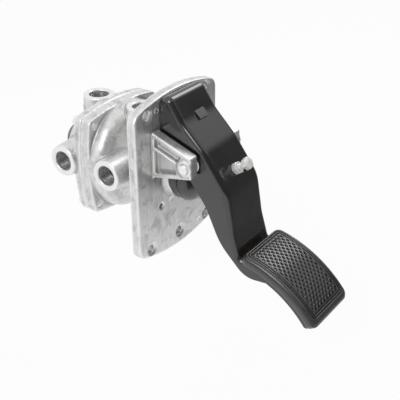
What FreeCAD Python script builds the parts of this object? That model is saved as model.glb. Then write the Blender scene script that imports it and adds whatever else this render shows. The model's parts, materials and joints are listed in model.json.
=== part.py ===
import FreeCAD, Part
import math
import os
from types import SimpleNamespace

import Sketcher

# Driving sizes in millimetres and degrees. The origin lies on the valve axis at the
# mounting face of the plate: X to the driver's right, Y towards the valve, Z up.
SIZES = {
    "clearance": 0.3,
    "running_gap": 0.03,
    # mounting plate
    "plate_width": 128.5,
    "plate_side_height": 150.0,
    "plate_arc_radius": 190.0,
    "plate_thickness": 10.0,
    "plate_corner_radius": 12.0,
    "plate_edge_radius": 1.5,
    "plate_hole_radius": 4.5,
    "plate_hole_rim_radius": 7.0,
    "plate_hole_rim_depth": 1.2,
    "plate_holes_across": 92.0,
    "plate_holes_high": 144.0,
    "plate_opening_radius": 20.0,
    "ring_radius": 24.5,
    "ring_foot_radius": 27.5,
    "ring_height": 6.0,
    # ears that carry the pedal
    "ear_gap": 60.0,
    "ear_thickness": 11.0,
    "ear_top": 53.5,
    "ear_bottom": 7.0,
    "ear_nose": 45.0,
    "ear_nose_top": 38.5,
    "ear_nose_bottom": 17.0,
    "ear_flange": 4.5,
    "ear_rib": 3.0,
    "ear_rib_root": 37.0,
    "ear_recess": 5.5,
    "ear_boss_radius": 8.0,
    "ear_boss_height": 1.2,
    # pivot
    "pivot_depth": 37.8,
    "pivot_height": 27.0,
    "pin_radius": 4.75,
    "pin_stand": 2.2,
    "pin_chamfer": 0.6,
    "bush_wall": 1.5,
    "bush_collar": 1.2,
    "washer_thickness": 0.6,
    # pedal arm, a drawn channel
    "arm_width": 56.0,
    "arm_wall": 2.5,
    "arm_edge_radius": 6.0,
    "arm_plate_gap": 0.5,
    "arm_top": 88.5,
    "arm_top_back": 83.0,
    "arm_crown_depth": 9.5,
    "arm_crown_radius": 8.0,
    "arm_hollow_depth": 27.2,
    "arm_hollow_height": 63.8,
    "arm_shoulder_depth": 50.3,
    "arm_shoulder_height": 41.8,
    "arm_knee_depth": 76.9,
    "arm_knee_height": 6.5,
    "arm_knee_radius": 34.0,
    "arm_shin_depth": 83.4,
    "arm_shin_drop": 33.0,
    "arm_heel_depth": 91.5,
    "arm_heel_radius": 6.0,
    "arm_bend_radius": 60.0,
    "arm_back_top": 51.5,
    "arm_back_corner_radius": 8.0,
    "arm_back_knee_depth": 52.5,
    "arm_back_knee_drop": 14.0,
    "arm_back_shin_depth": 69.0,
    "arm_back_shin_drop": 49.0,
    "arm_back_heel_depth": 98.0,
    "arm_back_heel_drop": 76.5,
    "arm_back_heel_radius": 24.0,
    "pan_start": 22.5,
    "pan_end": 52.4,
    "tab_width": 13.5,
    "tab_rise": 2.6,
    "tab_length": 9.0,
    "tab_side": 1.6,
    # rubber pad, curved about an axis along X
    "pad_width": 66.0,
    "pad_thickness": 10.0,
    "pad_radius": 122.0,
    "pad_start": 8.7,
    "pad_end": 53.9,
    "pad_centre_depth": 81.4,
    "pad_centre_drop": 171.0,
    "pad_corner_radius": 7.0,
    "pad_rim_radius": 4.0,
    "pan_depth": 7.0,
    # relief of the pad's tread; starts, ends and row step are angles about the pad axis
    "groove_depth": 1.4,
    "groove_width": 1.2,
    "rim_groove_side": 4.6,
    "rim_groove_start": 10.2,
    "rim_groove_end": 50.1,
    "tread_side": 7.2,
    "tread_start": 11.9,
    "tread_end": 48.6,
    "tread_row_step": 3.5,
    "lozenge_share": 0.74,
    # adjusting screw and its lock nut
    "screw_radius": 3.0,
    "screw_head_across": 10.0,
    "screw_head_height": 4.0,
    "screw_stand": 13.5,
    "nut_height": 5.0,
    "contact_reach": 42.3,
    "contact_gap": 0.05,
    # plunger, its guide and boot
    "plunger_radius": 7.0,
    "plunger_head_height": 5.0,
    "plunger_foot_radius": 12.0,
    "plunger_foot_height": 3.0,
    "guide_radius": 13.0,
    "guide_collar_radius": 16.0,
    "guide_collar": 3.0,
    "boot_radius": 27.5,
    "boot_groove_radius": 24.6,
    "boot_wall": 1.8,
    "boot_pitch": 8.5,
    # upper body
    "spigot_length": 9.0,
    "neck_flange_radius": 48.0,
    "neck_flange": 9.0,
    "neck_radius": 30.0,
    "bell_radius": 56.0,
    "bell_rim": 9.5,
    "bell_cove_radius": 30.0,
    "bell_round_radius": 13.0,
    "upper_length": 70.0,
    "upper_flange": 11.4,
    "flange_half": 50.0,
    "flange_bulge_radius": 215.0,
    "flange_corner_radius": 5.0,
    "flange_screws_across": 87.6,
    "flange_screw_radius": 3.0,
    "flange_screw_head": 5.0,
    "plate_screw_across": 58.0,
    "plate_screw_low": 30.0,
    "plate_screw_high": 41.7,
    "plate_screw_head": 4.5,
    "plate_screw_grip": 6.5,
    "screw_cap_radius": 5.0,
    # ports
    "port_radius": 10.19,
    "port_depth": 16.0,
    "port_boss_radius": 15.9,
    "port_boss_root_radius": 20.0,
    "port_side_reach": 59.5,
    "port_top_reach": 56.8,
    "port_side_height": 3.0,
    "upper_port_depth": 33.9,
    "lower_port_lead": 5.0,
    "passage_radius": 4.5,
    # chambers
    "chamber_radius": 20.0,
    "seat_wall": 3.0,
    "seat_hole_radius": 8.0,
    "supply_radius": 14.0,
    "supply_length": 9.0,
    "upper_seat_depth": 40.0,
    "relay_radius": 44.0,
    "relay_start": 58.0,
    "relay_end": 76.0,
    "retainer_length": 5.0,
    # lower body
    "lower_flange": 9.0,
    "lower_radius": 46.0,
    "outlet_length": 19.0,
    "lower_seat_depth": 96.0,
    # pistons and valves
    "piston_start": 24.0,
    "piston_length": 6.0,
    "piston_stem_radius": 5.0,
    "exhaust_gap": 1.2,
    "relay_gap": 1.0,
    "relay_piston_start": 61.0,
    "relay_piston_length": 6.0,
    "seal_section": 2.4,
    "valve_radius": 11.0,
    "valve_thickness": 2.5,
    "valve_stem_radius": 4.0,
    "valve_stem_bore": 2.0,
    "wire_radius": 0.8,
    "valve_spring_radius": 8.0,
    "piston_spring_radius": 13.0,
    "relay_spring_radius": 30.0,
    # exhaust silencer
    "silencer_radius": 15.5,
    "silencer_length": 14.0,
    "silencer_wall": 2.0,
    "flap_thickness": 1.5,
    "seal_gap": 0.2,
}


class Size:
    """A size that knows its number and the formula that ties it to the sheet."""

    def __init__(self, number, formula):
        self.number = float(number)
        self.formula = formula

    def __add__(self, other):
        other = as_size(other)
        return Size(self.number + other.number, f"({self.formula} + {other.formula})")

    def __sub__(self, other):
        other = as_size(other)
        return Size(self.number - other.number, f"({self.formula} - {other.formula})")

    def __mul__(self, other):
        other = as_size(other)
        return Size(self.number * other.number, f"({self.formula} * {other.formula})")

    def __truediv__(self, other):
        other = as_size(other)
        return Size(self.number / other.number, f"({self.formula} / {other.formula})")

    def __radd__(self, other):
        return as_size(other) + self

    def __rsub__(self, other):
        return as_size(other) - self

    def __rmul__(self, other):
        return as_size(other) * self

    def __neg__(self):
        return as_size(0) - self

    def __float__(self):
        return self.number


def as_size(value):
    if isinstance(value, Size):
        return value
    return Size(value, f"{value:.6f}" if value >= 0 else f"(0 - {-value:.6f})")


def sine(angle):
    angle = as_size(angle)
    return Size(math.sin(math.radians(angle.number)), f"sin({angle.formula})")


def cosine(angle):
    angle = as_size(angle)
    return Size(math.cos(math.radians(angle.number)), f"cos({angle.formula})")


def root(value):
    value = as_size(value)
    return Size(math.sqrt(value.number), f"sqrt({value.formula})")


doc = FreeCAD.newDocument("FootBrakeValve")
sheet = doc.addObject("Spreadsheet::Sheet", "Sizes")
for row, (alias, number) in enumerate(SIZES.items(), start=1):
    sheet.set(f"A{row}", alias)
    sheet.set(f"B{row}", str(number))
    sheet.setAlias(f"B{row}", alias)
doc.recompute()

S = SimpleNamespace(**{alias: Size(number, f"Sizes.{alias}") for alias, number in SIZES.items()})

PARTS = []


def bind(thing, field, value):
    """Tie one field of an object to the sheet."""
    thing.setExpression(field, as_size(value).formula)


def new_body(label):
    body = doc.addObject("PartDesign::Body", label)
    body.Label = label
    PARTS.append(body)
    return body


def plane_of(body, role):
    return next(item for item in body.Origin.OriginFeatures if item.Role == role)


def new_sketch(body, name, plane, offset=0.0):
    """A sketch on one of the body's own origin planes, moved along that plane's normal."""
    made = body.newObject("Sketcher::SketchObject", name)
    made.AttachmentSupport = [(plane_of(body, plane + "_Plane"), "")]
    made.MapMode = "FlatFace"
    if isinstance(offset, Size) or offset != 0.0:
        bind(made, ".AttachmentOffset.Base.z", offset)
    return made


def pin_point(sketch, index, end, x, y):
    """Fix one point of the sketch at a place given by the sheet."""
    for kind, value, axis in (("DistanceX", as_size(x), -2), ("DistanceY", as_size(y), -1)):
        if value.number == 0.0 and value.formula.replace(".", "").strip("0") == "":
            sketch.addConstraint(Sketcher.Constraint("PointOnObject", index, end, axis))
            continue
        place = sketch.addConstraint(
            Sketcher.Constraint(kind, -1, 1, index, end, value.number))
        sketch.setExpression(f"Constraints[{place}]", value.formula)


def arc_middle(start, end, radius):
    """Middle point of the arc between two points; a negative radius bows to the right."""
    chord = end - start
    half = chord.Length / 2
    rise = abs(radius) - math.sqrt(max(radius * radius - half * half, 0.0))
    side = FreeCAD.Vector(-chord.y, chord.x, 0).normalize()
    return (start + end) * 0.5 + side * (rise if radius > 0 else -rise)


def draw_outline(sketch, corners):
    """A closed outline. A third value in a corner is the radius of the arc that follows it."""
    points = [FreeCAD.Vector(float(c[0]), float(c[1]), 0) for c in corners]
    first = len(sketch.Geometry)
    for index, corner in enumerate(corners):
        start, end = points[index], points[(index + 1) % len(points)]
        if len(corner) == 3:
            middle = arc_middle(start, end, float(corner[2]))
            sketch.addGeometry(Part.Arc(start, middle, end), False)
        else:
            sketch.addGeometry(Part.LineSegment(start, end), False)
    ends = []
    for index, corner in enumerate(corners):
        flipped = len(corner) == 3 and float(corner[2]) > 0
        ends.append((2, 1) if flipped else (1, 2))
    for index, corner in enumerate(corners):
        here = first + index
        following = (index + 1) % len(corners)
        sketch.addConstraint(Sketcher.Constraint(
            "Coincident", here, ends[index][1], first + following, ends[following][0]))
    for index, corner in enumerate(corners):
        pin_point(sketch, first + index, ends[index][0], corner[0], corner[1])
        if len(corner) == 3:
            radius = as_size(corner[2])
            if radius.number < 0:
                radius = -radius
            place = sketch.addConstraint(
                Sketcher.Constraint("Radius", first + index, radius.number))
            sketch.setExpression(f"Constraints[{place}]", radius.formula)


def draw_circle(sketch, x, y, radius):
    centre = FreeCAD.Vector(float(x), float(y), 0)
    index = sketch.addGeometry(
        Part.Circle(centre, FreeCAD.Vector(0, 0, 1), float(radius)), False)
    pin_point(sketch, index, 3, x, y)
    place = sketch.addConstraint(Sketcher.Constraint("Radius", index, float(radius)))
    sketch.setExpression(f"Constraints[{place}]", as_size(radius).formula)


def extrude(body, name, sketch, length, kind="Pad", reverse=False, both=False):
    feature = body.newObject("PartDesign::" + kind, name)
    feature.Profile = sketch
    bind(feature, "Length", length)
    feature.Reversed = reverse
    feature.SideType = "Symmetric" if both else "One side"
    sketch.Visibility = False
    return feature


def revolve(body, name, sketch, kind="Revolution", axis="H_Axis"):
    feature = body.newObject("PartDesign::" + kind, name)
    feature.Profile = sketch
    feature.ReferenceAxis = (sketch, [axis])
    feature.Angle = 360.0
    sketch.Visibility = False
    return feature


def edges_at(feature, test):
    """Names of the edges whose middle point passes the test."""
    names = []
    for index, edge in enumerate(feature.Shape.Edges, start=1):
        middle = edge.valueAt((edge.FirstParameter + edge.LastParameter) / 2)
        if test(edge, middle):
            names.append(f"Edge{index}")
    return names


def dress(body, name, base, edges, size, kind="Fillet"):
    """A fillet or chamfer on named edges of the feature before it."""
    feature = body.newObject("PartDesign::" + kind, name)
    feature.Base = (base, edges)
    bind(feature, "Radius" if kind == "Fillet" else "Size", size)
    doc.recompute()
    return feature


def turned(label, profile, part=True):
    """A piece turned about the valve axis, from its half section of (depth, radius) points."""
    body = new_body(label)
    if not part:
        PARTS.remove(body)
    outline = new_sketch(body, label + "_profile", "YZ")
    draw_outline(outline, profile)
    revolve(body, label + "_turned", outline)
    return body


def place_at(thing, x=0.0, y=0.0, z=0.0, turn=None):
    """Stand an object at a place given by the sheet, turned about one of the axes."""
    if turn:
        thing.Placement = FreeCAD.Placement(
            FreeCAD.Vector(0, 0, 0), FreeCAD.Rotation(turn[0], turn[1]))
    for field, value in (("x", x), ("y", y), ("z", z)):
        if isinstance(value, Size) or value != 0.0:
            bind(thing, ".Placement.Base." + field, value)
    return thing


X_AXIS = FreeCAD.Vector(1, 0, 0)
Y_AXIS = FreeCAD.Vector(0, 1, 0)
ALONG_Y = (X_AXIS, -90)
ALONG_MINUS_X = (Y_AXIS, -90)


def cone(name, foot, tip, length, **where):
    made = doc.addObject("Part::Cone", name)
    bind(made, "Radius1", foot)
    bind(made, "Radius2", tip)
    bind(made, "Height", length)
    return place_at(made, **where)


def cylinder(name, radius, length, **where):
    made = doc.addObject("Part::Cylinder", name)
    bind(made, "Radius", radius)
    bind(made, "Height", length)
    return place_at(made, **where)


def join(name, pieces):
    made = doc.addObject("Part::MultiFuse", name)
    made.Shapes = pieces
    made.Refine = True
    return made


def cut(name, base, tools, part=False):
    """The base less its tools; a finished sub-part is listed for the output."""
    made = doc.addObject("Part::Cut", name)
    made.Base = base
    made.Tool = tools if not isinstance(tools, list) else join(name + "_tools", tools)
    made.Refine = True
    if part:
        made.Label = name
        PARTS.append(made)
    return made


# Places that several pieces share
PIVOT_Y = -(S.plate_thickness + S.pivot_depth)
PIVOT_Z = S.pivot_height
FACE_Y = -S.plate_thickness
CONTACT_Y = -(S.plate_thickness + S.contact_reach)
HALF_ARM = S.arm_width / 2
PAD_Y = -(S.plate_thickness + S.pad_centre_depth)
PAD_Z = -S.pad_centre_drop
SEAT_RADIUS = S.pad_radius - S.pad_thickness
UPPER_SEAT = S.upper_seat_depth + S.seat_wall
LOWER_SEAT = S.lower_seat_depth + S.seat_wall
LOWER_PORT = S.lower_seat_depth - S.lower_port_lead
LOWER_END = S.lower_seat_depth + S.outlet_length
# Columns of the tread's lozenges, in half widths from the pad's middle
ODD_COLUMNS = range(-4, 5, 2)
EVEN_COLUMNS = range(-5, 6, 2)


def corners_of_plate_screws():
    """Centres of the three screws between plate and upper body."""
    side = S.plate_screw_across / 2
    return ((-side, -S.plate_screw_low), (side, -S.plate_screw_low), (as_size(0), S.plate_screw_high))


def square_corners(across):
    half = across / 2
    return ((-half, -half), (half, -half), (half, half), (-half, half))


def make_mounting_plate():
    """Cast plate with arched ends, a raised ring round the plunger and two ribbed ears."""
    body = new_body("mounting_plate")
    half_width = S.plate_width / 2
    side_top = S.plate_side_height / 2
    face = new_sketch(body, "plate_outline", "XZ")
    draw_outline(face, [
        (-half_width, -side_top),
        (-half_width, side_top, S.plate_arc_radius),
        (half_width, side_top),
        (half_width, -side_top, S.plate_arc_radius),
    ])
    plate = extrude(body, "plate", face, S.plate_thickness)
    doc.recompute()
    corners = edges_at(plate, lambda e, m: abs(abs(m.x) - half_width.number) < 0.01
                       and abs(abs(m.z) - side_top.number) < 0.01)
    rounded = dress(body, "plate_corners", plate, corners, S.plate_corner_radius)
    front = edges_at(rounded, lambda e, m: abs(m.y - FACE_Y.number) < 0.01)
    softened = dress(body, "plate_edge", rounded, front, S.plate_edge_radius)

    ring = new_sketch(body, "ring_section", "YZ")
    draw_outline(ring, [
        (FACE_Y / 2, S.plate_opening_radius),
        (FACE_Y - S.ring_height, S.plate_opening_radius),
        (FACE_Y - S.ring_height, S.ring_radius),
        (FACE_Y, S.ring_foot_radius),
        (FACE_Y / 2, S.ring_foot_radius),
    ])
    revolve(body, "ring", ring)

    inner = S.ear_gap / 2
    nose = FACE_Y - S.ear_nose
    side = new_sketch(body, "ear_side", "YZ", inner)
    draw_outline(side, [
        (FACE_Y / 2, S.ear_bottom),
        (FACE_Y, S.ear_bottom),
        (nose, S.ear_nose_bottom),
        (nose, S.ear_nose_top),
        (FACE_Y, S.ear_top),
        (FACE_Y / 2, S.ear_top),
    ])
    ear = extrude(body, "ear", side, S.ear_thickness)
    boss = new_sketch(body, "ear_boss_outline", "YZ", inner)
    draw_circle(boss, PIVOT_Y, PIVOT_Z, S.ear_boss_radius)
    boss_pad = extrude(body, "ear_boss", boss, S.ear_thickness + S.ear_boss_height)

    outer = inner + S.ear_thickness
    floor = outer - S.ear_recess
    slope = (S.ear_top - S.ear_nose_top) / S.ear_nose
    panel_end = S.pivot_depth - S.ear_boss_radius - 2.0
    upper = new_sketch(body, "upper_panel", "YZ", floor)
    top_root = S.ear_top - S.ear_flange
    rib_root = S.ear_rib_root + S.ear_rib
    draw_outline(upper, [
        (FACE_Y - 2.5, rib_root - slope * 2.5),
        (FACE_Y - panel_end, rib_root - slope * panel_end),
        (FACE_Y - panel_end - 6.0, top_root - slope * (panel_end + 6.0)),
        (FACE_Y - 2.5, top_root - slope * 2.5),
    ])
    upper_cut = extrude(body, "upper_recess", upper, S.ear_recess, "Pocket", reverse=True)
    lower = new_sketch(body, "lower_panel", "YZ", floor)
    rise = (S.ear_nose_bottom - S.ear_bottom) / S.ear_nose
    low_root = S.ear_bottom + S.ear_flange
    draw_outline(lower, [
        (FACE_Y - 2.5, low_root + rise * 2.5),
        (FACE_Y - panel_end, low_root + rise * panel_end),
        (FACE_Y - panel_end, S.ear_rib_root - slope * panel_end),
        (FACE_Y - 2.5, S.ear_rib_root - slope * 2.5),
    ])
    lower_cut = extrude(body, "lower_recess", lower, S.ear_recess, "Pocket", reverse=True)
    bore = new_sketch(body, "pin_hole", "YZ", inner)
    draw_circle(bore, PIVOT_Y, PIVOT_Z, S.pin_radius + S.running_gap)
    bore_cut = extrude(body, "pin_bore", bore, S.ear_thickness + S.ear_boss_height,
                       "Pocket", reverse=True)

    other = body.newObject("PartDesign::Mirrored", "other_ear")
    other.Originals = [ear, boss_pad, upper_cut, lower_cut, bore_cut]
    other.MirrorPlane = (plane_of(body, "YZ_Plane"), [""])
    body.Tip = other
    doc.recompute()

    opening = new_sketch(body, "opening_outline", "XZ")
    draw_circle(opening, 0.0, 0.0, S.plate_opening_radius)
    extrude(body, "opening", opening, S.plate_thickness + S.ring_height, "Pocket", reverse=True)
    across, high = S.plate_holes_across / 2, S.plate_holes_high / 2
    bolt_places = [(-across, -high), (across, -high), (across, high), (-across, high),
                   (as_size(0), -high)]
    holes = new_sketch(body, "bolt_holes_outline", "XZ")
    for x, z in bolt_places:
        draw_circle(holes, x, z, S.plate_hole_radius)
    for x, z in corners_of_plate_screws():
        draw_circle(holes, x, z, S.flange_screw_radius + S.running_gap)
    extrude(body, "bolt_holes", holes, S.plate_thickness, "Pocket", reverse=True)
    rims = new_sketch(body, "hole_rims_outline", "XZ", S.plate_thickness - S.plate_hole_rim_depth)
    for x, z in bolt_places:
        draw_circle(rims, x, z, S.plate_hole_rim_radius)
    extrude(body, "hole_rims", rims, S.plate_hole_rim_depth, "Pocket", reverse=True)
    doc.recompute()


def flange_outline(body, name, depth):
    """The square flange with gently bowed sides, drawn at one depth."""
    half = S.flange_half
    outline = new_sketch(body, name, "XZ", -depth)
    draw_outline(outline, [
        (-half, -half, S.flange_bulge_radius),
        (-half, half, S.flange_bulge_radius),
        (half, half, S.flange_bulge_radius),
        (half, -half, S.flange_bulge_radius),
    ])
    return outline


def port_bosses(prefix, depth):
    """The side and top bosses of one circuit, each a cone that widens towards the axis."""
    side = cone(prefix + "_side_boss", S.port_boss_root_radius, S.port_boss_radius,
                S.port_side_reach, y=depth, z=S.port_side_height, turn=ALONG_MINUS_X)
    top = cone(prefix + "_top_boss", S.port_boss_root_radius, S.port_boss_radius,
               S.port_top_reach, y=depth)
    return [side, top]


def port_bores(prefix, depth, seat):
    """Threaded mouths, and the passages from them to the delivery and supply chambers."""
    side_floor = S.port_side_reach - S.port_depth
    top_floor = S.port_top_reach - S.port_depth
    feed_radius = S.passage_radius - 1.3
    feed_depth = seat + feed_radius + 0.3
    return [
        cylinder(prefix + "_side_mouth", S.port_radius, S.port_depth + 1.0,
                 x=-side_floor, y=depth, z=S.port_side_height, turn=ALONG_MINUS_X),
        cylinder(prefix + "_side_passage", S.passage_radius, side_floor + 1.0,
                 y=seat - S.seat_wall - S.passage_radius - 0.8, z=S.port_side_height,
                 turn=ALONG_MINUS_X),
        cylinder(prefix + "_top_mouth", S.port_radius, S.port_depth + 1.0, y=depth, z=top_floor),
        cylinder(prefix + "_top_slot", S.passage_radius, feed_depth + feed_radius - depth,
                 y=depth, z=top_floor + S.passage_radius + 1.0, turn=ALONG_Y),
        cylinder(prefix + "_top_passage", feed_radius, top_floor + S.passage_radius + 1.0,
                 y=feed_depth),
    ]


def make_upper_body():
    """Bell-shaped casting with a spigot in the plate, two ports and a square flange."""
    flange_start = S.upper_length - S.upper_flange
    rim_start = flange_start - S.bell_rim
    shell = turned("upper_shell", [
        (-S.spigot_length, 0.0),
        (-S.spigot_length, S.plate_opening_radius - S.seal_gap),
        (0.0, S.plate_opening_radius - S.seal_gap),
        (0.0, S.neck_flange_radius),
        (S.neck_flange, S.neck_flange_radius),
        (S.neck_flange + 3.0, S.neck_radius + 2.0),
        (S.neck_flange + 15.0, S.neck_radius, -S.bell_cove_radius),
        (rim_start - 8.0, S.bell_radius - 10.0, S.bell_round_radius),
        (rim_start + 3.5, S.bell_radius),
        (flange_start + 1.0, S.bell_radius),
        (flange_start + 1.0, 0.0),
    ], part=False)
    flange = new_body("upper_flange")
    PARTS.remove(flange)
    square = flange_outline(flange, "upper_square", flange_start)
    slab = extrude(flange, "upper_slab", square, S.upper_flange, reverse=True)
    doc.recompute()
    half = S.flange_half.number
    corners = edges_at(slab, lambda e, m: abs(abs(m.x) - half) < 0.01
                       and abs(abs(m.z) - half) < 0.01)
    dress(flange, "upper_slab_corners", slab, corners, S.flange_corner_radius)
    solid = join("upper_casting", [shell, flange] + port_bosses("upper", S.upper_port_depth))
    supply_end = UPPER_SEAT + S.supply_length + S.retainer_length
    tools = port_bores("upper", S.upper_port_depth, UPPER_SEAT) + [
        cylinder("guide_bore", S.guide_radius, S.spigot_length + 2.0, y=-S.spigot_length - 1.0,
                 turn=ALONG_Y),
        cylinder("upper_chamber", S.chamber_radius, S.upper_seat_depth - 0.5, y=0.5, turn=ALONG_Y),
        cylinder("upper_seat_hole", S.seat_hole_radius, S.seat_wall + 2.0,
                 y=S.upper_seat_depth - 1.0, turn=ALONG_Y),
        cylinder("upper_supply", S.supply_radius, supply_end - UPPER_SEAT + 1.0,
                 y=UPPER_SEAT, turn=ALONG_Y),
        cylinder("upper_relay_chamber", S.relay_radius, S.upper_length - S.relay_start + 1.0,
                 y=S.relay_start, turn=ALONG_Y),
    ]
    for index, (x, z) in enumerate(square_corners(S.flange_screws_across)):
        tools.append(cylinder(f"upper_screw_hole_{index}", S.flange_screw_radius + S.running_gap,
                              S.upper_flange + 2.0, x=x, y=flange_start - 1.0, z=z, turn=ALONG_Y))
    for index, (x, z) in enumerate(corners_of_plate_screws()):
        tools.append(cylinder(f"plate_screw_hole_{index}", S.flange_screw_radius + S.running_gap,
                              S.neck_flange + 1.0, x=x, y=-0.5, z=z, turn=ALONG_Y))
        tools.append(cylinder(f"spot_face_{index}", S.screw_cap_radius + 1.0,
                              S.plate_screw_head + 2.5, x=x, y=S.neck_flange, z=z, turn=ALONG_Y))
    cut("upper_body", solid, tools, part=True)


def make_lower_body():
    """Lower casting with the second pair of ports and the exhaust outlet."""
    flange_end = S.upper_length + S.lower_flange
    shell = turned("lower_shell", [
        (flange_end - 1.0, 0.0),
        (flange_end - 1.0, S.lower_radius),
        (flange_end + 4.0, S.lower_radius - 1.0),
        (LOWER_END - 12.0, S.lower_radius - 8.0),
        (LOWER_END - 7.0, S.lower_radius - 12.0),
        (LOWER_END - 6.0, S.silencer_radius + 5.0),
        (LOWER_END, S.silencer_radius + 4.0),
        (LOWER_END, 0.0),
    ], part=False)
    flange = new_body("lower_flange")
    PARTS.remove(flange)
    square = flange_outline(flange, "lower_square", S.upper_length)
    slab = extrude(flange, "lower_slab", square, S.lower_flange, reverse=True)
    doc.recompute()
    half = S.flange_half.number
    corners = edges_at(slab, lambda e, m: abs(abs(m.x) - half) < 0.01
                       and abs(abs(m.z) - half) < 0.01)
    dress(flange, "lower_slab_corners", slab, corners, S.flange_corner_radius)
    solid = join("lower_casting", [shell, flange] + port_bosses("lower", LOWER_PORT))
    tools = port_bores("lower", LOWER_PORT, LOWER_SEAT) + [
        cylinder("lower_relay_chamber", S.relay_radius, S.relay_end - S.upper_length + 1.0,
                 y=S.upper_length - 1.0, turn=ALONG_Y),
        cylinder("lower_chamber", S.chamber_radius, S.lower_seat_depth - S.relay_end + 1.0,
                 y=S.relay_end - 1.0, turn=ALONG_Y),
        cylinder("lower_seat_hole", S.seat_hole_radius, S.seat_wall + 2.0,
                 y=S.lower_seat_depth - 1.0, turn=ALONG_Y),
        cylinder("lower_supply", S.supply_radius, LOWER_END - LOWER_SEAT + 1.0,
                 y=LOWER_SEAT, turn=ALONG_Y),
    ]
    for index, (x, z) in enumerate(square_corners(S.flange_screws_across)):
        tools.append(cylinder(f"lower_screw_hole_{index}", S.flange_screw_radius + S.running_gap,
                              S.lower_flange + 2.0, x=x, y=S.upper_length - 1.0, z=z,
                              turn=ALONG_Y))
    cut("lower_body", solid, tools, part=True)


def on_pad(radius, angle):
    """A point at a radius and angle about the axis that the pad is curved round."""
    return PAD_Y - radius * sine(angle), PAD_Z + radius * cosine(angle)


WEB_TOP = (FACE_Y - S.arm_shoulder_depth, S.arm_shoulder_height)
WEB_FOOT = (FACE_Y - S.arm_knee_depth, S.arm_knee_height)
WEB_RUN = WEB_FOOT[0] - WEB_TOP[0]
WEB_FALL = WEB_FOOT[1] - WEB_TOP[1]
WEB_LENGTH = root(WEB_RUN * WEB_RUN + WEB_FALL * WEB_FALL)
SCREW_Y = WEB_FALL / WEB_LENGTH
SCREW_Z = -(WEB_RUN / WEB_LENGTH)
SCREW_REACH = (WEB_TOP[0] - CONTACT_Y) * SCREW_Y + WEB_TOP[1] * SCREW_Z
SCREW_TILT = math.degrees(math.atan2(-SCREW_Y.number, SCREW_Z.number))


HEEL_Y = FACE_Y - S.arm_heel_depth
HEEL_Z = PAD_Z + root(SEAT_RADIUS * SEAT_RADIUS - (PAD_Y - HEEL_Y) * (PAD_Y - HEEL_Y))
PAN_UNDER = SEAT_RADIUS - S.pan_depth
CROWN = (FACE_Y - S.arm_crown_depth, S.arm_top)
HOLLOW = (FACE_Y - S.arm_hollow_depth, S.arm_hollow_height)
# Corners of the channel's outline, then what follows each: its side and any arc about the pad axis
ARM_OUTLINE = {
    "top": ((FACE_Y - S.arm_plate_gap, S.arm_top_back), "front", "straight"),
    "crown": (CROWN, "front", "straight"),
    "hollow": (HOLLOW, "front", "straight"),
    "shoulder": (WEB_TOP, "front", "straight"),
    "knee": (WEB_FOOT, "front", "straight"),
    "shin": ((FACE_Y - S.arm_shin_depth, -S.arm_shin_drop), "front", "straight"),
    "heel": ((HEEL_Y, HEEL_Z), "front", "seat"),
    "toe": (on_pad(SEAT_RADIUS, S.pan_end), "toe", "straight"),
    "back_toe": (on_pad(PAN_UNDER, S.pan_end), "rear", "skirt"),
    "back_pan": (on_pad(PAN_UNDER, S.pan_start), "rear", "straight"),
    "back_heel": ((FACE_Y - S.arm_back_heel_depth, -S.arm_back_heel_drop), "rear", "straight"),
    "back_shin": ((FACE_Y - S.arm_back_shin_depth, -S.arm_back_shin_drop), "rear", "straight"),
    "back_knee": ((FACE_Y - S.arm_back_knee_depth, -S.arm_back_knee_drop), "rear", "straight"),
    "back_top": ((FACE_Y - S.arm_plate_gap, S.arm_back_top), "rear", "straight"),
}
ARM_CORNERS = list(ARM_OUTLINE)
# Bends: radius on the outside of the sheet, and whether the inside is tighter, wider or the same
ARM_BENDS = {
    "crown": (S.arm_crown_radius, "tighter"),
    "hollow": (S.arm_bend_radius, "wider"),
    "shoulder": (S.arm_bend_radius, "tighter"),
    "knee": (S.arm_knee_radius, "tighter"),
    "shin": (S.arm_bend_radius, "wider"),
    "heel": (S.arm_heel_radius, "wider"),
    "back_heel": (S.arm_back_heel_radius, "same"),
    "back_shin": (S.arm_bend_radius, "same"),
    "back_knee": (S.arm_bend_radius, "same"),
    "back_top": (S.arm_back_corner_radius, "same"),
}


def next_corner(name, step=1):
    return ARM_CORNERS[(ARM_CORNERS.index(name) + step) % len(ARM_CORNERS)]


def inward(name, at_end):
    """Direction into the sheet at one end of the edge that starts at a corner."""
    start, side, bow = ARM_OUTLINE[name]
    end = ARM_OUTLINE[next_corner(name)][0]
    here = end if at_end else start
    if bow == "straight":
        along = FreeCAD.Vector(float(end[0] - start[0]), float(end[1] - start[1]), 0).normalize()
        return FreeCAD.Vector(-along.y, along.x, 0)
    away = FreeCAD.Vector(float(here[0] - PAD_Y), float(here[1] - PAD_Z), 0).normalize()
    return away if bow == "skirt" else -away


def inner_corner(name, wall):
    """A corner of the outline moved by the sheet's thickness: inward on the front, outward behind."""
    last = next_corner(name, -1)
    before, after = inward(last, True), inward(name, False)
    reach_before = -1.0 if ARM_OUTLINE[last][1] == "rear" else 1.0
    reach_after = -1.0 if ARM_OUTLINE[name][1] == "rear" else 1.0
    twist = before.x * after.y - before.y * after.x
    if abs(twist) < 0.02:
        move_y, move_z = before.x * reach_before, before.y * reach_before
    else:
        move_y = (reach_before * after.y - reach_after * before.y) / twist
        move_z = (reach_after * before.x - reach_before * after.x) / twist
    y, z = ARM_OUTLINE[name][0]
    return y + wall * move_y, z + wall * move_z


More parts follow.
